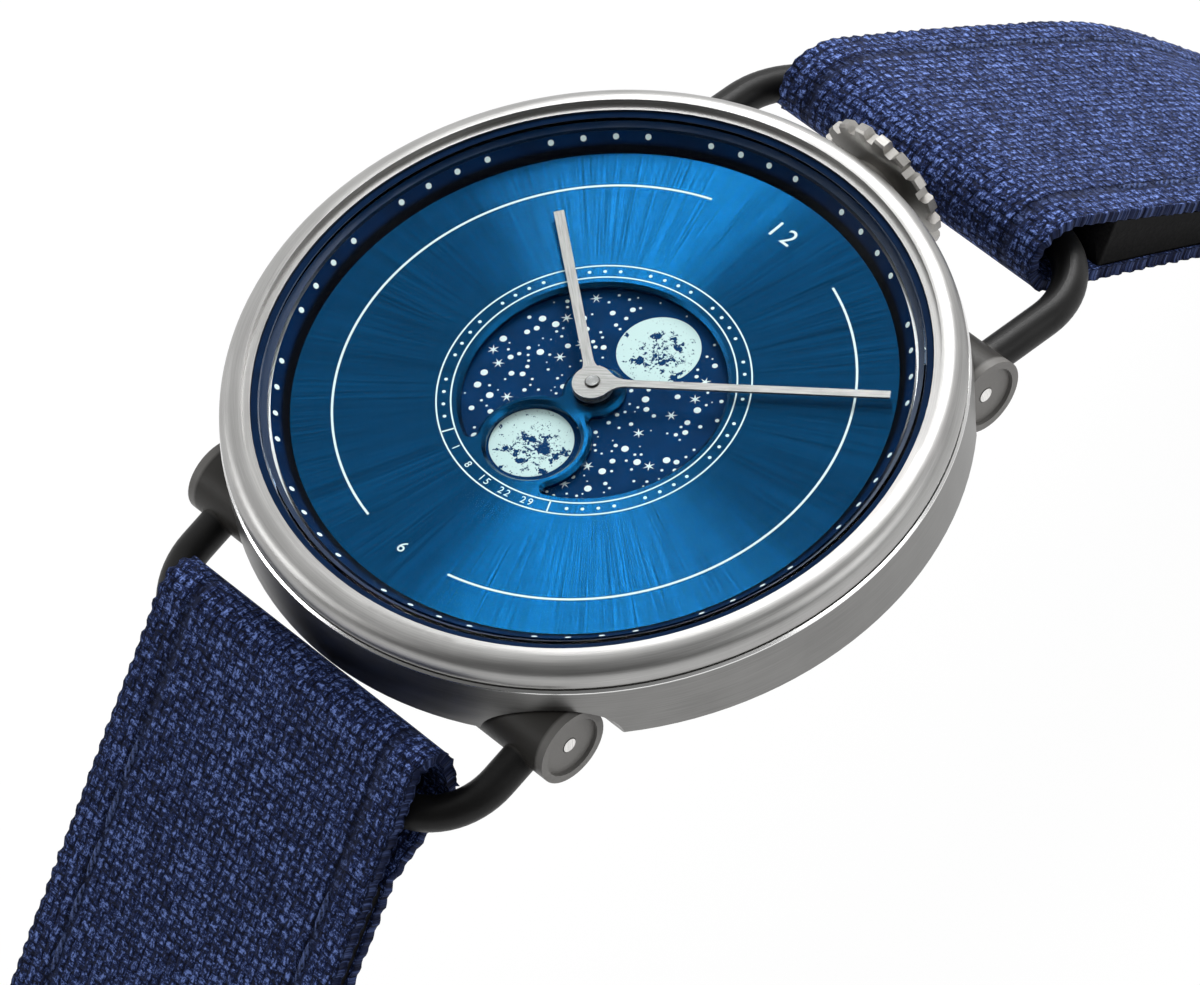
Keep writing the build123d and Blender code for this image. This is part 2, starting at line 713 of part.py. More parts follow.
# Crown: 17 coarse teeth, edges broken, inner face dished towards the hub
crown_recess_end_y = crown_hub_y + crown_recess_depth
with BuildPart() as crown:
    with BuildSketch(Plane.XZ.offset(-crown_inner_y)) as crown_teeth_face:
        with BuildLine():
            crown_radii = (crown_root_r, crown_tip_r)
            crown_shares = (crown_root_share, crown_tip_share)
            Polyline(tooth_points((0, stem_z), crown_teeth, crown_radii, crown_shares, crown_phase), close=True)
        make_face()
    extrude(amount=-(crown_outer_y - crown_inner_y))
    crown_axis = Axis((0, 0, stem_z), (0, 1, 0))
    with BuildSketch(Plane.YZ) as crown_profile:
        with BuildLine():
            Polyline(
                (crown_inner_y, stem_z),
                (crown_inner_y, stem_z + crown_hub_r),
                (crown_inner_y + crown_dish, stem_z + crown_tip_r - crown_edge_chamfer),
                (crown_inner_y + crown_dish + crown_edge_chamfer, stem_z + crown_tip_r + fit_gap),
                (crown_outer_y - crown_edge_chamfer, stem_z + crown_tip_r + fit_gap),
                (crown_outer_y, stem_z + crown_tip_r - crown_edge_chamfer),
                (crown_outer_y, stem_z),
                close=True,
            )
        make_face()
    revolve(axis=crown_axis, mode=Mode.INTERSECT)
    crown_axis_ring(crown_hub_y, crown_hub_r, crown_inner_y - crown_hub_y + fit_gap)
    crown_axis_ring(crown_hub_y - fit_gap, crown_recess_r, crown_recess_depth + fit_gap, mode=Mode.SUBTRACT)
    crown_axis_ring(crown_recess_end_y, stem_r + fit_gap, stem_seat_depth, mode=Mode.SUBTRACT)
save(crown, "crown")

with BuildPart() as crown_tube:
    crown_axis_ring(movement_bore_r + running_gap, tube_outer_r,
                    tube_outer_y - movement_bore_r - running_gap, bore=tube_bore_r)
save(crown_tube, "crown_tube")

with BuildPart() as stem:
    crown_axis_ring(stem_inner_y, stem_r, crown_recess_end_y + stem_seat_depth - stem_inner_y)
    crown_axis_ring(stem_groove_y, stem_r + overrun, stem_groove_w, bore=stem_groove_r, mode=Mode.SUBTRACT)
save(stem, "stem")

with BuildPart() as crown_gasket:
    crown_axis_ring(crown_gasket_y, tube_bore_r - fit_gap, crown_gasket_t, bore=stem_r + fit_gap / 2)
save(crown_gasket, "crown_gasket")

# Setting lever: a forked blade that sits in the stem's groove and moves with it
lever_y = stem_groove_y + (stem_groove_w - lever_t) / 2
lever_base_z = stem_z - lever_h / 2
with BuildPart() as setting_lever:
    with BuildSketch(Plane.XZ.offset(-lever_y)) as lever_blade:
        with Locations((0, stem_z)):
            Rectangle(lever_w, lever_h)
            Circle(stem_groove_r + fit_gap, mode=Mode.SUBTRACT)
        with Locations((0, stem_z + lever_h / 2)):
            Rectangle(2 * (stem_groove_r + fit_gap), lever_h, mode=Mode.SUBTRACT)
    extrude(amount=-lever_t)
save(setting_lever, "setting_lever")

# Main plate: battery pocket, posts, and the raised block the stem runs through
lever_room_y = stem_groove_y - soft_gap
lever_room_len = stem_groove_w + crown_pull + 2 * soft_gap
with BuildPart() as main_plate:
    disc(plate_bottom_z, plate_r, plate_top_z - plate_bottom_z)
    with BuildSketch(Plane.XY.offset(plate_bottom_z)) as stem_block:
        Circle(plate_r)
        with Locations((0, stem_block_y - plate_r)):
            Rectangle(2 * plate_r, 2 * plate_r, mode=Mode.SUBTRACT)
        for side in (-1, 1):
            with Locations((side * (plate_r + stem_block_w / 2), 0)):
                Rectangle(2 * plate_r, 4 * plate_r, mode=Mode.SUBTRACT)
    extrude(amount=stem_block_top_z - plate_bottom_z)
    disc(plate_top_z, centre_post_r, minute_hand_z - plate_top_z)
    disc(plate_bottom_z, battery_r + soft_gap, battery_bottom_z + battery_t + fit_gap - plate_bottom_z,
         (battery_x, battery_y), mode=Mode.SUBTRACT)
    disc(plate_bottom_z, battery_r - battery_lip, plate_top_z, (battery_x, battery_y), mode=Mode.SUBTRACT)
    for arbor in (minute_arbor, moon_arbor):
        disc(plate_bottom_z, arbor_r + running_gap, plate_top_z - plate_bottom_z, arbor, mode=Mode.SUBTRACT)
    crown_axis_ring(stem_block_y - overrun, stem_r + running_gap, plate_r, mode=Mode.SUBTRACT)
    with BuildSketch(Plane.XY.offset(plate_bottom_z + level_gap)) as lever_room:
        with Locations((0, lever_room_y + lever_room_len / 2)):
            Rectangle(lever_w + 2 * soft_gap, lever_room_len)
    extrude(amount=stem_block_top_z, mode=Mode.SUBTRACT)
save(main_plate, "main_plate")

# Movement ring: fills the gap between the plate and the case, open for the stem
with BuildPart() as movement_ring:
    disc(plate_bottom_z, movement_ring_outer_r, movement_ring_top_z - plate_bottom_z,
         bore=movement_ring_inner_r)
    with BuildSketch(Plane.XY.offset(plate_bottom_z - overrun)) as stem_slot:
        with Locations((0, movement_bore_r)):
            Rectangle(stem_slot_w, movement_bore_r)
    extrude(amount=movement_ring_top_z, mode=Mode.SUBTRACT)
save(movement_ring, "movement_ring")

# Battery: a button cell with a stepped rim
with BuildPart() as battery:
    disc(battery_bottom_z, battery_r, battery_t, (battery_x, battery_y))
save(battery, "battery")

# Battery clamp: a springy strip under the cell, with a foot below the circuit board
clamp_angle = 210
clamp_bottom_z = battery_bottom_z - fit_gap - clamp_t
with BuildPart() as battery_clamp:
    with BuildSketch(Plane.XY.offset(clamp_bottom_z)) as clamp_strip:
        with Locations(Location((battery_x, battery_y), clamp_angle)):
            with Locations((clamp_len / 2 - clamp_w / 2, 0)):
                Rectangle(clamp_len, clamp_w)
    extrude(amount=clamp_t)
    foot_dx, foot_dy = polar(battery_r + soft_gap + clamp_w / 4, clamp_angle)
    with BuildSketch(Plane.XY.offset(clamp_bottom_z)) as clamp_foot:
        with Locations(Location((battery_x + foot_dx, battery_y + foot_dy), clamp_angle)):
            Rectangle(clamp_w / 2 - fit_gap, clamp_w)
    extrude(amount=board_z - fit_gap - clamp_bottom_z)
save(battery_clamp, "battery_clamp")

# Circuit board under the plate's left half, cut out round the battery
with BuildPart() as circuit_board:
    with BuildSketch(Plane.XY.offset(board_z)) as board_face:
        Circle(board_r)
        with Locations((bridge_x + board_r, 0)):
            Rectangle(2 * board_r, 2 * board_r, mode=Mode.SUBTRACT)
        with Locations((battery_x, battery_y)):
            Circle(battery_r + soft_gap, mode=Mode.SUBTRACT)
    extrude(amount=board_t)
save(circuit_board, "circuit_board")

# Train bridge under the plate's right half, on three pillars
pillar_angles = (-70, 0, 70)
with BuildPart() as train_bridge:
    with BuildSketch(Plane.XY.offset(bridge_bottom_z)) as bridge_face:
        Circle(bridge_r)
        with Locations((bridge_x + running_gap - bridge_r, 0)):
            Rectangle(2 * bridge_r, 2 * bridge_r, mode=Mode.SUBTRACT)
    extrude(amount=bridge_t)
    for pillar_angle in pillar_angles:
        disc(bridge_bottom_z, pillar_r, plate_bottom_z - fit_gap - bridge_bottom_z,
             polar(pillar_ring_r, pillar_angle))
    for pillar_angle in pillar_angles:
        disc(bridge_bottom_z - overrun, movement_screw_r + running_gap, plate_top_z,
             polar(pillar_ring_r, pillar_angle), mode=Mode.SUBTRACT)
save(train_bridge, "train_bridge")

with BuildPart() as movement_screws:
    for pillar_angle in pillar_angles:
        screw_centre = polar(pillar_ring_r, pillar_angle)
        disc(bridge_bottom_z - fit_gap - movement_screw_head_t, movement_screw_head_r,
             movement_screw_head_t, screw_centre)
        disc(bridge_bottom_z - fit_gap - running_gap, movement_screw_r,
             plate_bottom_z - bridge_bottom_z, screw_centre)
save(movement_screws, "movement_screws")

# Coil on its iron core, and the stator plate whose hole the rotor turns in
with BuildPart() as coil:
    with Locations((coil_x, coil_y, coil_z)):
        Cylinder(coil_r, coil_len, rotation=(0, 90, 0))
        Box(coil_core_len, coil_core_w, coil_core_w)
save(coil, "coil")

stator_z = coil_z - coil_core_w / 2 - fit_gap - stator_t
with BuildPart() as stator:
    with BuildSketch(Plane.XY.offset(stator_z)) as stator_face:
        with Locations((coil_x, (coil_y + stator_y) / 2 - stator_w / 4)):
            Rectangle(coil_core_len, coil_y - stator_y + stator_w / 2)
        with Locations((coil_x, coil_y)):
            Rectangle(coil_len + 2 * soft_gap, 2 * (coil_r + soft_gap), mode=Mode.SUBTRACT)
        with Locations((coil_x, stator_y - stator_w / 4)):
            Circle(stator_hole_r, mode=Mode.SUBTRACT)
    extrude(amount=stator_t)
save(stator, "stator")

# Hinge rods: one straight rod through the two barrels and the knuckle at each side
for rod_label, rod_side in (("hinge_rod_12", 1), ("hinge_rod_6", -1)):
    with BuildPart() as hinge_rod:
        with Locations((0, rod_side * hinge_y, hinge_z)):
            Cylinder(hinge_rod_r, 2 * hinge_rod_half, rotation=(0, 90, 0))
    save(hinge_rod, rod_label)


def build_wire(side, reach, bend_r, tilt, radius):
    # The bent wire alone; side is 1 at 12 and -1 at 6
    drop = math.sin(math.radians(tilt))
    level = math.cos(math.radians(tilt))
    bail_plane = Plane(
        origin=(0, side * hinge_y, hinge_z),
        x_dir=(side, 0, 0),
        z_dir=(0, side * drop, level),
    )
    with BuildPart() as bent_wire:
        with BuildLine(bail_plane) as wire:
            leg = Line((leg_x, 0), (leg_x, reach - bend_r))
            CenterArc((leg_x - bend_r, reach - bend_r), bend_r, 0, 90)
            Line((leg_x - bend_r, reach), (bend_r - leg_x, reach))
            CenterArc((bend_r - leg_x, reach - bend_r), bend_r, 90, 90)
            Line((-leg_x, reach - bend_r), (-leg_x, 0))
        with BuildSketch(Plane(origin=leg @ 0, z_dir=leg % 0)) as wire_round:
            Circle(radius)
        sweep(path=wire.wires()[0])
    return bent_wire


def build_bail(side, reach, bend_r, tilt):
    # One bent wire with a hinge barrel on each leg
    bent_wire = build_wire(side, reach, bend_r, tilt, wire_r)
    with BuildPart() as bail:
        add(bent_wire.part)
        for barrel_start in (barrel_inner_x, -barrel_outer_x):
            with BuildSketch(Plane.YZ.offset(barrel_start)) as barrel_round:
                with Locations((side * hinge_y, hinge_z)):
                    Circle(barrel_r)
            extrude(amount=barrel_outer_x - barrel_inner_x)
        for face_x in (barrel_outer_x - barrel_recess_depth, -barrel_outer_x):
            with BuildSketch(Plane.YZ.offset(face_x)) as recess_round:
                with Locations((side * hinge_y, hinge_z)):
                    Circle(barrel_recess_r)
            extrude(amount=barrel_recess_depth, mode=Mode.SUBTRACT)
        with Locations((0, side * hinge_y, hinge_z)):
            Cylinder(hinge_bore_r, 2 * barrel_outer_x + overrun, rotation=(0, 90, 0), mode=Mode.SUBTRACT)
    return bail


bail_12 = build_bail(1, bail_12_reach, bail_12_bend_r, bail_12_tilt)
save(bail_12, "bail_12")
bail_6 = build_bail(-1, bail_6_reach, bail_6_bend_r, bail_6_tilt)
save(bail_6, "bail_6")


def trace(start, heading, runs):
    # Follow runs of (length, turn) and return samples of (x, z, heading, travelled)
    x, z = start
    travelled = 0
    samples = [(x, z, heading, travelled)]
    for length, turn in runs:
        steps = max(1, round(length / path_step))
        for step in range(steps):
            heading += turn / steps / 2
            x += length / steps * math.cos(math.radians(heading))
            z += length / steps * math.sin(math.radians(heading))
            heading += turn / steps / 2
            travelled += length / steps
            samples.append((x, z, heading, travelled))
    return samples


def beside(sample, depth):
    # The point this deep under the sample, square to its heading
    x, z, heading, travelled = sample
    turned = math.radians(heading)
    return (x + depth * math.sin(turned), z - depth * math.cos(turned))


def closing_runs(samples, flat_length, underside_z):
    # From the last sample: straight on, then bend to level just where the floor is
    x, z, heading, travelled = samples[-1]
    slope = math.radians(-heading)
    bend_drop = closing_bend_r * (1 - math.cos(slope))
    straight = (z - strap_t - underside_z - bend_drop) / math.sin(slope)
    bend_length = closing_bend_r * slope
    return [(straight, 0), (bend_length, -heading), (flat_length, 0)]


def band(outer, thickness):
    # The inner side of a canvas outline, square to it at every point
    inner = []
    for index, point in enumerate(outer):
        before = outer[max(0, index - 1)]
        after = outer[min(len(outer) - 1, index + 1)]
        dx = 0
        dz = 0
        for start, end in ((before, point), (point, after)):
            size = math.dist(start, end)
            if size:
                dx += (end[0] - start[0]) / size
                dz += (end[1] - start[1]) / size
        size = math.hypot(dx, dz)
        inner.append((point[0] - thickness * dz / size, point[1] + thickness * dx / size))
    return inner


def arc_chain(points, breaks=()):
    # Arcs through three points at a time, or a line where those three run straight.
    # No arc runs across a point that is listed as a break.
    first = 0
    while first < len(points) - 1:
        stops = [index for index in breaks if index > first] + [len(points) - 1]
        last = min(first + 2, min(stops))
        start, middle, end = points[first], points[first + 1], points[last]
        turned = math.atan2(end[1] - middle[1], end[0] - middle[0])
        turned -= math.atan2(middle[1] - start[1], middle[0] - start[0])
        if last == first + 1 or abs(math.sin(turned)) < math.sin(math.radians(straight_turn_limit)):
            Line(start, end)
        else:
            ThreePointArc(start, middle, end)
        first = last


def closed_outline(outer, inner, breaks=()):
    # A face between two chains of arcs with straight ends
    back_breaks = [len(inner) - 1 - index for index in breaks]
    with BuildLine() as border:
        arc_chain(outer, breaks)
        Line(outer[-1], inner[-1])
        arc_chain(list(reversed(inner)), back_breaks)
        Line(inner[0], outer[0])
    make_face(border.edges())


def strap_plane(side):
    # Sketch plane whose local x runs away from the case and local y is up
    return Plane(origin=(0, 0, 0), x_dir=(0, side, 0), z_dir=(side, 0, 0))


# Path of the strap at 12 along its upper face, from the top of the fold to the end
path_12_start = (fold_12_front + fold_12_r, fold_12_z + fold_12_r)
seen_12_runs = [
    (shoulder_12_len, -shoulder_12_turn),
    (slope_12_len, -slope_12_turn),
    (arch_12_len, -arch_12_turn),
    (drop_12_len, -drop_12_turn),
]
flat_12_underside_z = floor_z + keeper_t + keeper_clear
seen_12 = trace(path_12_start, 0, seen_12_runs)
path_12 = trace(path_12_start, 0, seen_12_runs + closing_runs(seen_12, flat_12_len, flat_12_underside_z))

# Path of the strap at 6: the front of its fold nearly touches the case
fold_6_centre = (fold_6_front + fold_6_r, fold_6_z)
path_6_start = (
    fold_6_centre[0] + fold_6_r * math.sin(math.radians(fold_6_turn)),
    fold_6_centre[1] + fold_6_r * math.cos(math.radians(fold_6_turn)),
)
seen_6_runs = [(slope_6_len, slope_6_turn), (drop_6_len, 0)]
seen_6 = trace(path_6_start, -fold_6_turn, seen_6_runs)
path_6 = trace(path_6_start, -fold_6_turn, seen_6_runs + closing_runs(seen_6, flat_6_len, floor_z))


def fold_depth_12(travelled):
    # Depth of the lower canvas face: thick at the fold, thinning to its cut end
    return fold_t + fold_12_wedge * (1 - travelled / return_end)


def fold_depth_6(travelled):
    # Depth at 6: the lower layer closes up quickly behind the bail
    return fold_t + fold_6_wedge * max(0, 1 - travelled / fold_6_wedge_len)


def arc_points(centre, radius, first, last, count):
    # Evenly spaced points on an arc, the first end left out
    points = []
    for index in range(1, count + 1):
        dx, dz = polar(radius, first + (last - first) * index / count)
        points.append((centre[0] + dx, centre[1] + dz))
    return points


def lower_face(path, depth_of, first):
    # Points of the lower canvas face from the first travelled length to the cut end
    points = []
    for sample in path:
        if first <= sample[3] <= return_end:
            points.append(beside(sample, depth_of(sample[3])))
    return points


# Points round each fold, in pieces that meet at the listed breaks
fold_12_centre = (fold_12_front + fold_12_r, fold_12_z)
fold_12_pieces = [arc_points(fold_12_centre, fold_12_r, 90, fold_12_foot_turn, 8)]
lower_12 = lower_face(path_12, fold_depth_12, shoulder_12_len)
fold_6_foot_centre = (fold_6_front + fold_6_foot_r, fold_6_foot_z)
fold_6_pieces = [
    arc_points(fold_6_centre, fold_6_r, 90 - fold_6_turn, 180, 6),
    [(fold_6_front, fold_6_foot_z)],
    arc_points(fold_6_foot_centre, fold_6_foot_r, 180, fold_6_foot_turn, 4),
]
lower_6 = lower_face(path_6, fold_depth_6, slope_6_len)


def build_canvas(side, path, fold_pieces, lower_points, wire_shape):
    # The canvas layer, dented inside the fold where the bail's bends press on it
    outer = [(sample[0], sample[1]) for sample in reversed(path)]
    breaks = [len(outer) - 1]
    for piece in fold_pieces:
        outer = outer + piece
        breaks.append(len(outer) - 1)
    outer = outer + lower_points
    inner = band(outer, canvas_t)
    wire_room = build_wire(side, *wire_shape, wire_r + wire_room_gap)
    with BuildPart() as canvas:
        with BuildSketch(strap_plane(side)) as canvas_face:
            closed_outline(outer, inner, breaks)
        extrude(amount=strap_w / 2, both=True)
        add(wire_room.part, mode=Mode.SUBTRACT)
    return canvas


def build_lining(side, path, depth_of, first):
    # The dark core: between the canvas layers, then the underside to the strap's end
    kept = [sample for sample in path if sample[3] >= first]
    top = [beside(sample, canvas_t + layer_gap) for sample in kept]
    bottom = []
    for sample in kept:
        folded = sample[3] <= return_end + 2 * path_step
        deep = depth_of(sample[3]) - canvas_t - layer_gap if folded else strap_t
        bottom.append(beside(sample, deep))
    with BuildPart() as lining:
        with BuildSketch(strap_plane(side)) as lining_face:
            closed_outline(top, bottom)
        extrude(amount=strap_w / 2, both=True)
    return lining


def cross_round(y, z, radius, half_length, mode=Mode.ADD):
    # A round bar across the strap
    with Locations((0, y, z)):
        Cylinder(radius, 2 * half_length, rotation=(0, 90, 0), mode=mode)


# Strap at 12: its end wraps the buckle's bar, with a slot for the tongue
bail_12_shape = (bail_12_reach, bail_12_bend_r, bail_12_tilt)
end_12_y = path_12[-1][0]
bar_y = end_12_y + eye_reach
bar_z = flat_12_underside_z + strap_t / 2
eye_outer_r = buckle_rod_r + soft_gap + eye_wall
slot_w = tongue_w + 2 * tongue_slot_gap
slot_start_y = bar_y - tongue_ring_r - tongue_slot_gap
canvas_12_base = build_canvas(1, path_12, fold_12_pieces, lower_12, bail_12_shape)
with BuildPart() as strap_12_canvas:
    add(canvas_12_base.part)
    cross_round(bar_y, bar_z, eye_outer_r, strap_w / 2)
    cross_round(bar_y, bar_z, buckle_rod_r + soft_gap, strap_w, mode=Mode.SUBTRACT)
    with Locations((0, slot_start_y + eye_outer_r * 2, bar_z)):
        Box(slot_w, 4 * eye_outer_r, 4 * eye_outer_r, mode=Mode.SUBTRACT)
save(strap_12_canvas, "strap_12_canvas")

lining_12_base = build_lining(1, path_12, fold_depth_12, core_12_start)
with BuildPart() as strap_12_lining:
    add(lining_12_base.part)
    cross_round(bar_y, bar_z, eye_outer_r + layer_gap, strap_w, mode=Mode.SUBTRACT)
    with Locations((0, slot_start_y + eye_outer_r * 2, bar_z)):
        Box(slot_w, 4 * eye_outer_r, 4 * eye_outer_r, mode=Mode.SUBTRACT)
save(strap_12_lining, "strap_12_lining")

# Strap at 6: punched holes along the flat end, and a round tip
bail_6_shape = (bail_6_reach, bail_6_bend_r, bail_6_tilt)
end_6_y = -path_6[-1][0]
tip_r = strap_w / 2


def punch_strap_end():
    # Cut the row of buckle holes and round the tip off
    with BuildSketch(Plane.XY.offset(floor_z - overrun)) as punched:
        for hole in range(hole_count):
            with Locations((0, end_6_y + hole_first + hole * hole_pitch)):
                Circle(hole_r)
        with BuildSketch(mode=Mode.PRIVATE) as corners:
            with Locations((0, end_6_y)):
                Rectangle(2 * strap_w, 2 * tip_r)
            with Locations((0, end_6_y + tip_r)):
                Circle(tip_r, mode=Mode.SUBTRACT)
        add(corners.sketch)
    extrude(punched.sketch, amount=strap_t + 2 * overrun, mode=Mode.SUBTRACT)


canvas_6_base = build_canvas(-1, path_6, fold_6_pieces, lower_6, bail_6_shape)
with BuildPart() as strap_6_canvas:
    add(canvas_6_base.part)
    punch_strap_end()
save(strap_6_canvas, "strap_6_canvas")

lining_6_base = build_lining(-1, path_6, fold_depth_6, core_6_start)
with BuildPart() as strap_6_lining:
    add(lining_6_base.part)
    punch_strap_end()
save(strap_6_lining, "strap_6_lining")


def build_keeper(centre_y):
    # A flat loop round the strap, with room above for the other strap half
    inner_w = strap_w + 2 * keeper_clear
    inner_h = strap_t + 2 * keeper_clear + keeper_room
    inner_centre_z = flat_12_underside_z - keeper_clear + inner_h / 2
    with BuildPart() as keeper:
        with Locations((0, centre_y, inner_centre_z)):
            Box(inner_w + 2 * keeper_t, keeper_w, inner_h + 2 * keeper_t)
            fillet(keeper.edges().filter_by(Axis.Y), radius=keeper_t)
            Box(inner_w, 2 * keeper_w, inner_h, mode=Mode.SUBTRACT)
    return keeper


keeper_fixed = build_keeper(end_12_y - fixed_keeper_from_end)
save(keeper_fixed, "keeper_fixed")
keeper_free = build_keeper(end_12_y - free_keeper_from_end)
save(keeper_free, "keeper_free")

# Buckle: a rounded frame on the bar, and the tongue that rests on its cross bar
buckle_half = buckle_inner_half + buckle_side_w
with BuildPart() as buckle_frame:
    with BuildSketch(Plane.XY.offset(bar_z - buckle_t / 2)) as frame_face:
        with Locations((0, bar_y + (buckle_reach + buckle_cross_w / 2) / 2)):
            frame_rectangle = Rectangle(2 * buckle_half, buckle_reach + buckle_cross_w / 2)
        fillet(frame_face.vertices().sort_by(Axis.Y)[-2:], radius=buckle_corner_r)
        with Locations((0, bar_y + (buckle_reach - buckle_cross_w / 2) / 2)):
            Rectangle(2 * buckle_inner_half, buckle_reach - buckle_cross_w / 2, mode=Mode.SUBTRACT)
    extrude(amount=buckle_t)
    for ear_side in (-1, 1):
        with Locations((ear_side * (buckle_half - buckle_side_w / 2), bar_y, bar_z)):
            Cylinder(buckle_ear_r, buckle_side_w, rotation=(0, 90, 0))
    cross_round(bar_y, bar_z, buckle_rod_r + fit_gap, buckle_half + overrun, mode=Mode.SUBTRACT)
save(buckle_frame, "buckle_frame")

with BuildPart() as buckle_bar:
    cross_round(bar_y, bar_z, buckle_rod_r, buckle_half)
save(buckle_bar, "buckle_bar")

tongue_rest_z = buckle_t / 2 + running_gap
tongue_tip_y = buckle_reach + tongue_over
tongue_rise_y = buckle_reach * tongue_rise_share
with BuildPart() as buckle_tongue:
    with BuildSketch(Plane.YZ) as tongue_profile:
        with Locations((bar_y, bar_z)):
            Circle(tongue_ring_r)
        with BuildLine():
            Polyline(
                (bar_y, bar_z + tongue_ring_r * tongue_root_share),
                (bar_y + tongue_rise_y, bar_z + tongue_rest_z),
                (bar_y + tongue_tip_y, bar_z + tongue_rest_z),
                (bar_y + tongue_tip_y, bar_z + tongue_rest_z + tongue_t / 2),
                (bar_y + tongue_tip_y - tongue_t, bar_z + tongue_rest_z + tongue_t),
                (bar_y + tongue_rise_y, bar_z + tongue_rest_z + tongue_t),
                (bar_y, bar_z + tongue_ring_r),
                close=True,
            )
        make_face()
        with Locations((bar_y, bar_z)):
            Circle(buckle_rod_r + running_gap, mode=Mode.SUBTRACT)
    extrude(amount=tongue_w / 2, both=True)
save(buckle_tongue, "buckle_tongue")
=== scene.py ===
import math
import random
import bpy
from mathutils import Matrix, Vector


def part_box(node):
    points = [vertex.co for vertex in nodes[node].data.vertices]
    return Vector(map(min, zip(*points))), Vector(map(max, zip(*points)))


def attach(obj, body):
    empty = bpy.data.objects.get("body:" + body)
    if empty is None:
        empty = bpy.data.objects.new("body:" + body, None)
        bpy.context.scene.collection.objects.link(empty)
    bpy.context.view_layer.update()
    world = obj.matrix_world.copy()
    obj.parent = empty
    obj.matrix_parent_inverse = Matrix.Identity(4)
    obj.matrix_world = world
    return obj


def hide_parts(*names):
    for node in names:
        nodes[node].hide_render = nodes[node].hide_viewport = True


bl_info = {
    "name": "Moon phase watch looks",
    "version": (1, 0, 0),
    "blender": (4, 5, 0),
    "location": "3D View > Sidebar > Watch",
    "description": "Finishes, dial printing and folded canvas straps for a moon phase watch",
    "category": "Object",
}

from collections import namedtuple

import bmesh
import bpy
from bpy.props import FloatProperty, FloatVectorProperty, IntProperty, PointerProperty
from mathutils import Matrix, Vector, noise

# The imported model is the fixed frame: metres, +Z out of the dial, +Y to 12 o'clock.
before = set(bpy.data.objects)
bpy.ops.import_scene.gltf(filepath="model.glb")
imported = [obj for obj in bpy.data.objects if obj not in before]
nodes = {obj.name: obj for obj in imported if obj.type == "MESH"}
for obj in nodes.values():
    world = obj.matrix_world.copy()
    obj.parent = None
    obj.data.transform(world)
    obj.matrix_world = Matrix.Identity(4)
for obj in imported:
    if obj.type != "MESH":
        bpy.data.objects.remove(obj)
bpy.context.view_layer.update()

MM = 0.001
DIAL_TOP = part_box("dial")[1].z / MM
MOON_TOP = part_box("moon_disc")[1].z / MM
FLOOR_Z = -38.2
# The bails' hinges, and their wires' distance from the middle
HINGE_Y = 15.7
HINGE_Z = 1.95
BAIL_LEG_X = 12.05
BARREL_R = 2.35
BARREL_END_X = 13.6


# Finishes

class Output:
    """One output of a node. Sums and products of outputs add Math nodes."""

    def __init__(self, owner, socket):
        self.owner = owner
        self.socket = socket

    def out(self, label):
        """Another output of the same node."""
        return Output(self.owner, self.socket.node.outputs[label])

    def __add__(self, other):
        return self.owner.math("ADD", self, other)

    def __sub__(self, other):
        return self.owner.math("SUBTRACT", self, other)

    def __rsub__(self, other):
        return self.owner.math("SUBTRACT", other, self)

    def __mul__(self, other):
        return self.owner.math("MULTIPLY", self, other)

    def __truediv__(self, other):
        return self.owner.math("DIVIDE", self, other)

    def __abs__(self):
        return self.owner.math("ABSOLUTE", self)


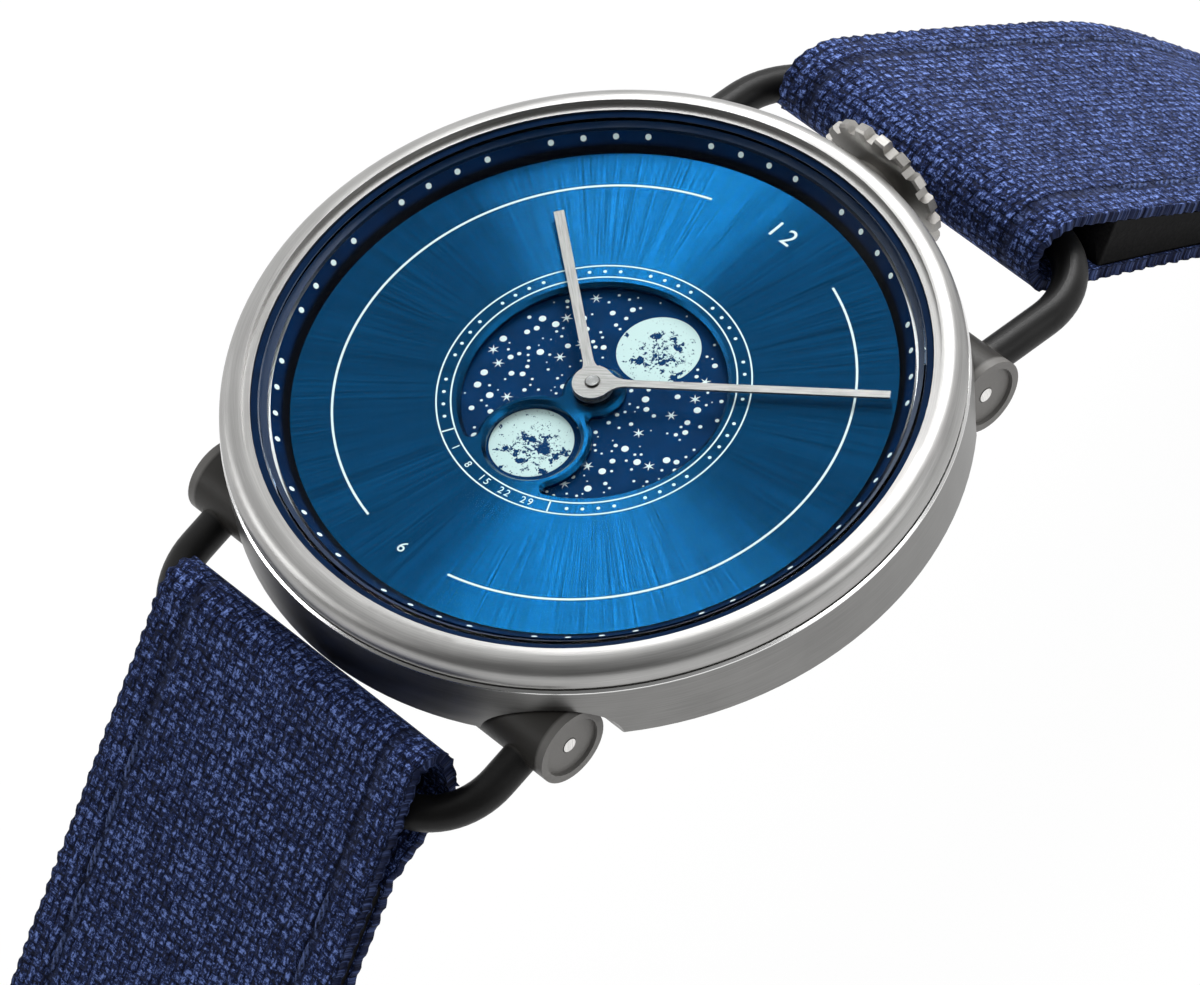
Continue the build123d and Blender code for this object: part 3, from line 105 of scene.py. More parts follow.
class Tree:
    """A node tree being built: its nodes take plain values or other nodes' outputs."""

    def __init__(self, owner):
        owner.use_nodes = True
        self.tree = owner.node_tree

    def feed(self, socket, value):
        if isinstance(value, Output):
            self.tree.links.new(value.socket, socket)
        elif socket.type == "RGBA" and len(value) == 3:
            socket.default_value = (*value, 1.0)
        else:
            socket.default_value = value

    def add(self, kind, inputs=(), output=0, **settings):
        node = self.tree.nodes.new("ShaderNode" + kind)
        for name, value in settings.items():
            setattr(node, name, value)
        for key, value in dict(inputs).items():
            self.feed(node.inputs[key], value)
        return Output(self, node.outputs[output])

    def surface(self, shader):
        """Put a shader on the tree's own output node."""
        self.feed(self.tree.get_output_node("ALL").inputs[0], shader)

    def math(self, operation, first, second=0.0):
        return self.add("Math", {0: first, 1: second}, operation=operation)

    def most(self, first, *others):
        """The largest of several values."""
        for other in others:
            first = self.math("MAXIMUM", first, other)
        return first

    def reach(self, x, y):
        """The distance of (x, y) from the middle."""
        return self.math("SQRT", x * x + y * y)

    def vector(self, operation, first, second=(0, 0, 0), output="Vector"):
        return self.add("VectorMath", {0: first, 1: second}, output, operation=operation)

    def split(self, vector):
        parts = self.add("SeparateXYZ", {0: vector})
        return [parts.out(label) for label in "XYZ"]

    def join(self, x, y, z):
        return self.add("CombineXYZ", {0: x, 1: y, 2: z})

    def turned(self, vector, degrees):
        inputs = {"Vector": vector, "Angle": math.radians(degrees)}
        return self.add("VectorRotate", inputs, rotation_type="Z_AXIS")

    def grain(self, vector, scale, detail=2.0, roughness=0.5, fourth=None):
        inputs = {"Vector": vector, "Scale": scale, "Detail": detail, "Roughness": roughness}
        if fourth is None:
            return self.add("TexNoise", inputs)
        return self.add("TexNoise", {**inputs, "W": fourth}, noise_dimensions="4D")

    def scale(self, value, low=0.3, high=0.7, new_low=0.0, new_high=1.0, smooth=False):
        """Stretch one range to another. Grain mostly lies between 0.3 and 0.7."""
        kind = "SMOOTHSTEP" if smooth else "LINEAR"
        inputs = {0: value, 1: low, 2: high, 3: new_low, 4: new_high}
        return self.add("MapRange", inputs, interpolation_type=kind)

    def uneven(self, factor, value, spread):
        """A number that wanders a little to both sides."""
        return self.scale(factor, 0.3, 0.7, value * (1 - spread), value * (1 + spread))

    def blend(self, factor, first, second):
        return self.add("Mix", {0: factor, 6: first, 7: second}, 2, data_type="RGBA")

    def shades(self, factor, color, spread):
        """The same colour, from a little darker to a little lighter."""
        dark = tuple(channel * (1 - spread) for channel in color)
        light = tuple(min(1, channel * (1 + spread)) for channel in color)
        return self.blend(factor, dark, light)

    def bump(self, height, distance, strength=1.0):
        return self.add("Bump", {"Height": height, "Distance": distance, "Strength": strength})

    def ray(self, kind):
        """1 where a ray of this kind meets the surface, else 0."""
        return self.add("LightPath", output=f"Is {kind} Ray")

    def mix(self, factor, first, second):
        """Mix two shaders."""
        return self.add("MixShader", {0: factor, 1: first, 2: second})


class Finish(Tree):
    """A material, whose shader's sockets are set by name."""

    def __init__(self, name, **values):
        self.material = bpy.data.materials.new(name)
        super().__init__(self.material)
        self.shader = self.tree.nodes["Principled BSDF"]
        self.plain = Output(self, self.shader.outputs[0])
        self.shade(**values)

    def shade(self, **values):
        for label, value in values.items():
            self.feed(self.shader.inputs[label.replace("_", " ")], value)
        return self

    def given(self, label):
        """What the shader's socket is fed with so far."""
        return Output(self, self.shader.inputs[label].links[0].from_socket)

    def place(self):
        """Object coordinates in millimetres."""
        coords = self.add("TexCoord", output="Object")
        return self.add("VectorMath", {0: coords, "Scale": 1 / MM}, operation="SCALE")

    def on(self, *names):
        """Give this finish to CAD nodes, by name."""
        for name in names:
            dress(nodes[name], self.material)
        return self


def dress(piece, material):
    piece.data.materials.clear()
    piece.data.materials.append(material)


def turned_metal(name, color, roughness, axis="Z", centre=(0, 0, 0), streak=5.0, lines=17.0):
    """Metal with fine brush lines that run round an axis."""
    finish = Finish(name, Metallic=1.0, Roughness=roughness, Anisotropic=0.6)
    moved = finish.vector("SUBTRACT", finish.place(), centre)
    x, y, z = finish.split(moved)
    if axis == "X":
        x, z = z, x
    radius = finish.reach(x, y)
    safe = finish.most(radius, 0.01)
    ring = finish.join(x / safe * streak, y / safe * streak, radius * lines)
    fine = finish.grain(ring, 1.0, 3.0, 0.6, z * lines)
    tone = fine * 0.75 + finish.grain(moved, 0.35) * 0.25
    return finish.shade(
        Base_Color=finish.shades(finish.scale(tone), color, 0.2),
        Roughness=finish.uneven(fine, roughness, 0.15),
        Normal=finish.bump(fine, 6e-6, 0.35),
        Tangent=finish.add("Tangent", direction_type="RADIAL", axis=axis))


def blasted_metal(name, color, roughness, size=7.0, depth=0.35):
    """Metal with an even bead-blasted grain."""
    finish = Finish(name, Metallic=1.0, Roughness=roughness)
    place = finish.place()
    fine = finish.grain(place, size, 4.0, 0.65)
    cloud = finish.grain(place, 0.5)
    return finish.shade(
        Base_Color=finish.shades(finish.scale(fine + cloud, 0.7, 1.3), color, 0.1),
        Roughness=finish.uneven(cloud, roughness, 0.1),
        Normal=finish.bump(fine, 1.5e-5, depth))


def coated_metal(name, color, roughness):
    """Satin black coating over steel, with the blasted grain showing through."""
    finish = Finish(name, Roughness=roughness, Specular_IOR_Level=0.22)
    place = finish.place()
    fine = finish.grain(place, 9.0, 4.0, 0.7)
    cloud = finish.grain(place, 0.7)
    return finish.shade(
        Base_Color=finish.shades(finish.scale(cloud, 0.35, 0.65), color, 0.25),
        Roughness=finish.uneven(fine, roughness, 0.2),
        Normal=finish.bump(fine, 1.2e-5, 0.4))


def moulded(name, color, roughness, **values):
    """Plastic or rubber with a faint grain."""
    finish = Finish(name, Roughness=roughness, **values)
    place = finish.place()
    fine = finish.grain(place, 5.0, 4.0, 0.6)
    return finish.shade(
        Base_Color=finish.shades(finish.scale(finish.grain(place, 0.8)), color, 0.18),
        Normal=finish.bump(fine, 1.5e-5, 0.3))


def printed(name, color):
    """Pad-printed lacquer: almost one tone, with slightly uneven cover."""
    finish = Finish(name, Roughness=0.5)
    cover = finish.grain(finish.place(), 9.0, 3.0)
    return finish.shade(
        Base_Color=finish.shades(finish.scale(cover), color, 0.05),
        Normal=finish.bump(cover, 4e-6, 0.3))


# Mesh helpers: everything is made in millimetres and turned to metres at the end

def turn(degrees, axis="Z"):
    return Matrix.Rotation(math.radians(degrees), 4, axis)


def move(x, y, z):
    return Matrix.Translation((x, y, z))


def around(angle, radius):
    """A point on the dial at an angle clockwise from 12."""
    turned = math.radians(angle)
    return radius * math.sin(turned), radius * math.cos(turned)


def made(result, kind=bmesh.types.BMVert, slot="geom"):
    """The vertices, or the edges, in what a bmesh operator returns."""
    return [item for item in result[slot] if isinstance(item, kind)]


def round_off(bm, geom, offset, segments=2, affect="EDGES"):
    bmesh.ops.bevel(bm, geom=geom, offset=offset, offset_type="OFFSET", affect=affect,
                    segments=segments, profile=0.5, material=-1)


def object_from(bm, name):
    """Turn a finished bmesh into an object."""
    bmesh.ops.scale(bm, vec=(MM, MM, MM), verts=bm.verts)
    mesh = bpy.data.meshes.new(name)
    bm.to_mesh(mesh)
    bm.free()
    piece = bpy.data.objects.new(name, mesh)
    bpy.context.scene.collection.objects.link(piece)
    return piece


def piece_from(bm, name, material, body, smooth=True):
    """Turn a finished bmesh into a piece that rides on a body."""
    piece = object_from(bm, name)
    for polygon in piece.data.polygons:
        polygon.use_smooth = smooth
    dress(piece, material)
    if body:
        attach(piece, body)
    return piece


def print_from(bm, name, ink, body):
    """Turn printed shapes into one flat-shaded piece."""
    bmesh.ops.recalc_face_normals(bm, faces=bm.faces)
    piece_from(bm, name, ink, body, smooth=False)


RING_STEPS_PER_DEGREE = 0.9
DOT_TOP = 0.88
STAR_WAIST = 0.27


def print_ring(bm, radius, width, z, thickness, first=0.0, last=360.0):
    """A printed line on a circle, between two angles clockwise from 12."""
    corners = []
    for across, up in ((-0.5, 0), (0.5, 0), (0.5, 1), (-0.5, 1)):
        corners.append(bm.verts.new((0, radius + across * width, z + up * thickness)))
    edges = [bm.edges.new((corners[i], corners[(i + 1) % 4])) for i in range(4)]
    full = last - first >= 360
    bmesh.ops.rotate(bm, cent=(0, 0, 0), matrix=turn(-first), verts=corners)
    steps = max(8, round((last - first) * RING_STEPS_PER_DEGREE))
    spun = bmesh.ops.spin(bm, geom=corners + edges, cent=(0, 0, 0), axis=(0, 0, 1),
                          angle=math.radians(first - last), steps=steps, use_merge=full)
    if not full:
        ends = edges + made(spun, bmesh.types.BMEdge, "geom_last")
        bmesh.ops.holes_fill(bm, edges=[edge for edge in ends if edge.is_valid], sides=4)


def resting(x, y, z, thickness):
    """The middle of a thin print that lies on a surface."""
    return move(x, y, z + thickness / 2)


def print_dot(bm, place, radius, thickness, segments=12):
    """One printed dot with a slightly domed edge."""
    bmesh.ops.create_cone(bm, cap_ends=True, segments=segments, radius1=radius,
                          radius2=radius * DOT_TOP, depth=thickness, matrix=place)


def print_star(bm, x, y, z, radius, thickness, angle, points=6):
    """A small star with thin points."""
    circle = bmesh.ops.create_circle(bm, cap_ends=True, segments=2 * points, radius=radius)
    verts = circle["verts"]
    for vert in verts[1::2]:
        vert.co *= STAR_WAIST
    face = verts[0].link_faces[0]
    upper = made(bmesh.ops.extrude_face_region(bm, geom=[face], use_keep_orig=True))
    bmesh.ops.translate(bm, verts=upper, vec=(0, 0, thickness))
    both = list(set(verts + upper))
    bmesh.ops.rotate(bm, cent=(0, 0, 0), matrix=Matrix.Rotation(angle, 4, "Z"), verts=both)
    bmesh.ops.translate(bm, verts=both, vec=(x, y, z))


def print_number(text, height, radius, angle, z, thickness, foot):
    """Mesh data of a number standing on a circle, its feet turned by foot degrees."""
    curve = bpy.data.curves.new("number", "FONT")
    curve.body = text
    curve.size = height
    curve.align_x = "CENTER"
    curve.align_y = "CENTER"
    curve.space_character = 1.35
    curve.extrude = thickness / 2
    curve.resolution_u = 6
    holder = bpy.data.objects.new("number", curve)
    mesh = bpy.data.meshes.new_from_object(holder)
    mesh.transform(turn(-angle) @ resting(0, radius, z, thickness) @ turn(foot))
    bpy.data.objects.remove(holder)
    bpy.data.curves.remove(curve)
    return mesh


# Settings that a user would change

COLOR = {"subtype": "COLOR", "size": 3, "min": 0, "max": 1}


class WatchPrint(bpy.types.PropertyGroup):
    """Printing on the dial, the flange and the moon disc."""
    print_color: FloatVectorProperty(
        name="Print", description="Colour of the printed lines and dots",
        default=(0.66, 0.76, 0.74), **COLOR)
    moon_color: FloatVectorProperty(
        name="Moon", description="Pale tone of the printed moons",
        default=(0.52, 0.67, 0.65), **COLOR)
    sky_color: FloatVectorProperty(
        name="Sky", description="Blue of the moon disc", default=(0.0004, 0.026, 0.09), **COLOR)
    dial_color: FloatVectorProperty(
        name="Dial", description="Blue of the sunburst dial", default=(0.002, 0.056, 0.145), **COLOR)
    flange_color: FloatVectorProperty(
        name="Flange", description="Dark blue of the minute ring",
        default=(0.0003, 0.011, 0.044), **COLOR)
    fan_lean: FloatProperty(
        name="Fan lean", description="How far the sunburst's bright fans are turned, in degrees",
        default=20.0, min=-90, max=90)
    thickness: FloatProperty(
        name="Thickness", description="Height of the printed layer, in millimetres",
        default=0.012, min=0.002, max=0.1)
    circle_radius: FloatProperty(
        name="Circle", description="Radius of the broken circle, in millimetres",
        default=14.3, min=9, max=16)
    track_radius: FloatProperty(
        name="Moon track", description="Radius of the moon track's dots, in millimetres",
        default=8.21, min=7.5, max=12)
    track_width: FloatProperty(
        name="Track width", description="Distance between the track's two circles, in millimetres",
        default=0.8, min=0.2, max=2)
    minute_radius: FloatProperty(
        name="Minute dots", description="Radius of the dots on the flange, in millimetres",
        default=17.3, min=16.7, max=17.5)
    stars: IntProperty(
        name="Stars", description="How many stars the moon disc gets",
        default=190, min=0, max=600)


class WatchStrap(bpy.types.PropertyGroup):
    """Canvas, core and stitches of the two strap halves."""
    width: FloatProperty(
        name="Width", description="Strap width, in millimetres", default=20.0, min=16, max=24)
    thread: FloatProperty(
        name="Thread pitch", description="Distance between two threads of the weave, in millimetres",
        default=0.64, min=0.2, max=1.5)
    stitch_inset: FloatProperty(
        name="Stitch inset", description="Distance of the stitches from the edge, in millimetres",
        default=2.3, min=1, max=5)
    dark: FloatVectorProperty(
        name="Dark thread", description="Dark tone of the canvas",
        default=(0.0015, 0.003, 0.014), **COLOR)
    middle: FloatVectorProperty(
        name="Thread", description="Main tone of the canvas",
        default=(0.011, 0.022, 0.088), **COLOR)
    light: FloatVectorProperty(
        name="Light thread", description="Light tone of the canvas",
        default=(0.16, 0.24, 0.58), **COLOR)


class WatchStage(bpy.types.PropertyGroup):
    """Light on the stage."""
    world_level: FloatProperty(
        name="Room light", description="Strength of the soft light from all round",
        default=0.8, min=0, max=2)
    key_power: FloatProperty(
        name="Key light", description="Power of the main soft light", unit="POWER",
        default=5.0, min=0, max=20)
    left_power: FloatProperty(
        name="Left light", description="Power of the low light from the left", unit="POWER",
        default=0.7, min=0, max=20)
    side_power: FloatProperty(
        name="Side light", description="Power of the light from the right", unit="POWER",
        default=1.0, min=0, max=20)


# Where the photograph was taken from, in millimetres
CAMERA_PLACE = (273.700, -193.283, 414.375)
CAMERA_RIGHT = (0.6858107, 0.71798353, -0.11900982)
CAMERA_DOWN = (0.51696438, -0.59569457, -0.61473231)
CAMERA_AHEAD = (-0.51226117, 0.36006616, -0.77970562)
CAMERA_LENS = 293.04


class WATCH_OT_stage(bpy.types.Operator):
    """Add the camera, the soft lights and the pale floor"""
    bl_idname = "watch.stage"
    bl_label = "Stage"

    def execute(self, context):
        settings = context.scene.watch_stage
        self.add_camera(context)
        self.add_world(context, settings.world_level)
        self.add_light(context, "Key", (-210, 520, 470), 420, settings.key_power)
        self.add_light(context, "Side", (560, 260, 300), 380, settings.side_power)
        self.add_light(context, "Left", (-360, -330, 150), 220, settings.left_power)
        self.add_floor()
        return {"FINISHED"}

    def add_camera(self, context):
        lens = bpy.data.cameras.new("Camera")
        lens.lens = CAMERA_LENS
        lens.sensor_width = 36.0
        lens.clip_start = 0.01
        lens.clip_end = 10.0
        camera = bpy.data.objects.new("Camera", lens)
        columns = (Vector(CAMERA_RIGHT), -Vector(CAMERA_DOWN), -Vector(CAMERA_AHEAD))
        view = Matrix(columns).transposed().to_4x4()
        camera.matrix_world = Matrix.Translation(Vector(CAMERA_PLACE) * MM) @ view
        context.scene.collection.objects.link(camera)
        context.scene.camera = camera
        context.scene.view_settings.view_transform = "Standard"

    def add_world(self, context, level):
        """A soft room that is brighter from the back, in front of a white background."""
        world = bpy.data.worlds.new("Studio")
        context.scene.world = world
        room = Tree(world)
        direction = room.add("TexCoord", output="Generated")
        glossy = room.ray("Glossy")
        lean = room.vector("DOT_PRODUCT", direction, (-0.075, 0.886, 0.457), "Value")
        spread = room.scale(lean, -0.6, 0.85, 0.2, 1.2, smooth=True)
        dim = room.scale(glossy, 0.0, 1.0, 1.0, 0.45)
        soft = room.add("Background", {"Color": (1, 1, 1), "Strength": spread * level * dim})
        # Metal shows the white background on the left and at the back, and less of the room
        shine = room.vector("DOT_PRODUCT", direction, (-0.62, 0.5, 0.6), "Value")
        gleam = room.scale(shine, 0.22, 0.75, 0.05, 1.05, smooth=True)
        white = room.add("Background", {"Color": (1, 1, 1)})
        seen = room.most(room.ray("Camera"), room.ray("Transmission"), glossy * gleam)
        room.surface(room.mix(seen, soft, white))

    def add_light(self, context, name, place, size, power):
        light = bpy.data.lights.new(name, "AREA")
        light.shape = "DISK"
        light.size = size * MM
        light.energy = power
        lamp = bpy.data.objects.new(name, light)
        spot = Vector(place) * MM
        aim = (-spot).to_track_quat("-Z", "Y").to_matrix().to_4x4()
        lamp.matrix_world = Matrix.Translation(spot) @ aim
        context.scene.collection.objects.link(lamp)

    def add_floor(self):
        bm = bmesh.new()
        bmesh.ops.create_grid(bm, x_segments=4, y_segments=4, size=1500)
        bmesh.ops.translate(bm, verts=bm.verts, vec=(0, 0, FLOOR_Z - 0.1))
        finish = Finish("Pale floor", Base_Color=(0.93, 0.93, 0.93), Roughness=0.9)
        glow = finish.add("Emission", {"Color": (1, 1, 1), "Strength": 1.0})
        seen = finish.most(finish.ray("Camera"), finish.ray("Transmission"), finish.ray("Glossy"))
        # The floor's own shader stays in a little, so that it shows the shadow
        finish.surface(finish.mix(seen * 0.97, finish.plain, glow))
        floor = piece_from(bm, "floor", finish.material, None)


class WATCH_OT_case(bpy.types.Operator):
    """Brush and blast the steel of the case, the bezel, the back and the crown"""
    bl_idname = "watch.case"
    bl_label = "Case"

    def execute(self, context):
        bezel = turned_metal("Brushed steel bezel", (0.4, 0.397, 0.39), 0.42, lines=24.0).on("bezel")
        self.coat_ledge(bezel)
        flank = turned_metal("Brushed steel flank", (0.22, 0.218, 0.213), 0.4, lines=14.0)
        self.polish_edge(flank.on("case_middle"))
        turned_metal("Brushed steel back", (0.55, 0.55, 0.54), 0.3).on("case_back")
        blasted_metal("Blasted steel crown", (0.33, 0.32, 0.305), 0.42).on("crown")
        turned_metal("Polished rod ends", (0.8, 0.79, 0.77), 0.18, axis="X").on(
            "hinge_rod_12", "hinge_rod_6")
        blasted_metal("Turned screws", (0.6, 0.6, 0.6), 0.25, 4.0, 0.2).on(
            "case_back_screws", "movement_screws", "stem", "crown_tube", "setting_lever")
        moulded("Black seal", (0.012, 0.012, 0.014), 0.55).on("case_back_gasket", "crown_gasket")
        moulded("Dark blue seal", (0.0005, 0.011, 0.04), 0.6, Specular_IOR_Level=0.04).on(
            "crystal_gasket")
        return {"FINISHED"}

    def coat_ledge(self, finish):
        """The ledge under the crystal is coated dark blue, like the flange that meets it."""
        low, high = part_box("crystal")
        x, y, z = finish.split(finish.place())
        inside = finish.math("LESS_THAN", finish.reach(x, y), high.x / MM + 0.12)
        under = finish.math("LESS_THAN", z, low.z / MM + 0.05)
        coated = inside * under
        color = finish.blend(coated, finish.given("Base Color"), (0.0008, 0.018, 0.06))
        finish.shade(Base_Color=color, Metallic=1.0 - coated)

    def polish_edge(self, finish):
        """The case's upper edge is polished, so it shows as a bright line."""
        z = finish.split(finish.place())[2]
        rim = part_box("case_middle")[1].z / MM
        bright = finish.scale(z, rim - 0.22, rim - 0.16)
        color = finish.blend(bright, finish.given("Base Color"), (0.9, 0.9, 0.89))
        rough = finish.given("Roughness") * (1.0 - bright) + bright * 0.2
        finish.shade(Base_Color=color, Roughness=rough)


class WATCH_OT_crystal(bpy.types.Operator):
    """Make the sapphire crystal clear, with clear shadows"""
    bl_idname = "watch.crystal"
    bl_label = "Crystal"

    def execute(self, context):
        finish = Finish("Sapphire crystal", Base_Color=(0.985, 0.995, 1.0), Roughness=0.0,
                        IOR=1.77, Transmission_Weight=1.0, Specular_IOR_Level=0.12)
        tint = finish.grain(finish.place(), 0.2, 1.0)
        finish.shade(Base_Color=finish.blend(tint, (0.98, 0.99, 1.0), (0.99, 1.0, 1.0)))
        # The coating under the glass takes most of its mirror image away
        inputs = {"Color": (0.99, 1.0, 1.0), "Roughness": 0.0, "IOR": 1.77}
        glass = finish.mix(0.985, finish.plain, finish.add("BsdfRefraction", inputs))
        # Shadow, diffuse and mirror rays pass straight through, the view through the glass bends
        clear = finish.add("BsdfTransparent", {"Color": (0.97, 0.99, 1.0)})
        mirror = finish.ray("Glossy") * (1.0 - finish.ray("Transmission"))
        through = finish.most(finish.ray("Shadow"), finish.ray("Diffuse"), mirror)
        finish.surface(finish.mix(through, glass, clear))
        finish.on("crystal")
        return {"FINISHED"}


# The dial's printing: angles in degrees clockwise from 12, sizes in millimetres
CIRCLE_RUNS = ((19.75, 167.0), (192.25, 340.75))
CIRCLE_LINE = 0.13
TRACK_LINE = 0.085
TRACK_DOT_R = 0.105
TRACK_ENDS = (151, 209)
MINUTE_DOT_R = 0.175
FLANGE_FOOT_R = 16.6
FLANGE_SLOPE_WIDTH = 0.95


class WATCH_OT_dial(bpy.types.Operator):
    """Finish the dial as a blue sunburst and print its circles, dots and numbers"""
    bl_idname = "watch.dial"
    bl_label = "Dial"

    def execute(self, context):
        settings = context.scene.watch_print
        self.sunburst(settings).on("dial")
        self.flange(settings).on("flange_ring")
        ink = printed("Dial print", settings.print_color).material
        self.print_circles(settings, ink)
        self.print_dots(settings, ink)
        self.print_numbers(settings, ink)
        return {"FINISHED"}

    def sunburst(self, settings):
        finish = Finish("Sunburst blue dial", Metallic=1.0, Roughness=0.27, Anisotropic=1.0)
        x, y = finish.split(finish.place())[:2]
        radius = finish.reach(x, y)
        safe = finish.most(radius, 0.05)
        rays = finish.join(x / safe, y / safe, radius * 0.0008)
        fine = finish.grain(rays, 150.0, 3.0, 0.75)
        tone = fine * 0.85 + finish.grain(rays, 7.0) * 0.15
        ring = finish.add("Tangent", direction_type="RADIAL", axis="Z")
        return finish.shade(
            Base_Color=finish.shades(finish.scale(tone, 0.38, 0.62), settings.dial_color, 0.38),
            Normal=finish.bump(fine, 2e-5, 0.2),
            Tangent=finish.turned(ring, settings.fan_lean))

    def flange(self, settings):
        finish = Finish("Dark blue flange", Roughness=0.35, Specular_IOR_Level=0.02)
        place = finish.place()
        blue = finish.shades(finish.scale(finish.grain(place, 0.5)), settings.flange_color, 0.25)
        # Its foot is painted near black: a painted shadow for the dark gap over the dial
        foot = finish.scale(finish.split(place)[2], DIAL_TOP + 0.3, DIAL_TOP + 0.5, 1.0, 0.0)
        return finish.shade(
            Base_Color=finish.blend(foot, blue, (0.0001, 0.0006, 0.002)),
            Normal=finish.bump(finish.grain(place, 12.0, 3.0), 4e-6, 0.2))

    def print_circles(self, settings, ink):
        bm = bmesh.new()
        t = settings.thickness
        for first, last in CIRCLE_RUNS:
            print_ring(bm, settings.circle_radius, CIRCLE_LINE, DIAL_TOP, t, first, last)
        for side in (-0.5, 0.5):
            radius = settings.track_radius + side * settings.track_width
            print_ring(bm, radius, TRACK_LINE, DIAL_TOP, t)
        bar = Matrix.Diagonal((TRACK_LINE, settings.track_width, t, 1.0))
        for angle in TRACK_ENDS:
            place = turn(-angle) @ resting(0, settings.track_radius, DIAL_TOP, t)
            bmesh.ops.create_cube(bm, size=1.0, matrix=place @ bar)
        print_from(bm, "dial_circles", ink, "case")

    def print_dots(self, settings, ink):
        """Dots for the minutes between the hours, in the moon track and on the flange."""
        t = settings.thickness
        slope = math.atan2(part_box("flange_ring")[1].z / MM - DIAL_TOP, FLANGE_SLOPE_WIDTH)
        up = (settings.minute_radius - FLANGE_FOOT_R) * math.tan(slope)
        seat = move(0, settings.minute_radius, DIAL_TOP + up) @ turn(math.degrees(slope), "X")
        track, flange = bmesh.new(), bmesh.new()
        for angle in (minute * 6 for minute in range(60) if minute % 5):
            if not TRACK_ENDS[0] < angle < TRACK_ENDS[1]:
                x, y = around(angle, settings.track_radius)
                print_dot(track, resting(x, y, DIAL_TOP, t), TRACK_DOT_R, t)
            print_dot(flange, turn(-angle) @ seat @ move(0, 0, t / 2), MINUTE_DOT_R, t, 16)
        print_from(track, "moon_track_dots", ink, "case")
        print_from(flange, "minute_dots", ink, "case")

    def print_numbers(self, settings, ink):
        """Each number has its height, radius, angle and turn."""
        rows = [("12", 1.55, settings.circle_radius, 0, 0), ("6", 1.0, settings.circle_radius, 180, 180)]
        for index, day in enumerate(("1", "8", "15", "22", "29")):
            rows.append((day, 0.62, settings.track_radius, 200 - index * 10, 180))
        bm = bmesh.new()
        for text, height, radius, angle, foot in rows:
            mesh = print_number(text, height, radius, angle, DIAL_TOP, settings.thickness, foot)
            bm.from_mesh(mesh)
            bpy.data.meshes.remove(mesh)
        bmesh.ops.remove_doubles(bm, verts=bm.verts, dist=1e-4)
        piece_from(bm, "dial_numbers", ink, "case", smooth=False)


# The moon disc's printing, in millimetres and degrees
MOON_R = 2.34
MOON_ORBIT_R = 4.5
MOON_TURN = 4.2
STAR_R = 0.34
# Stars are drawn in a square and kept between two circles, clear of the moons and each other
STAR_SQUARE = 7.2
STAR_INNER_R = 1.6
STAR_OUTER_R = 7.25
STAR_GAP = 0.16
STAR_MOON_GAP = 0.18
STAR_TRIES = 20000
# The round stars get these sizes first, then any of the small ones
STAR_DOT_SIZES = [0.21] * 16 + [0.165] * 20 + [0.12] * 30 + [0.085] * 42
SMALL_DOT_SIZES = (0.045, 0.055, 0.07, 0.085)
POINTED_STARS = range(108, 122)


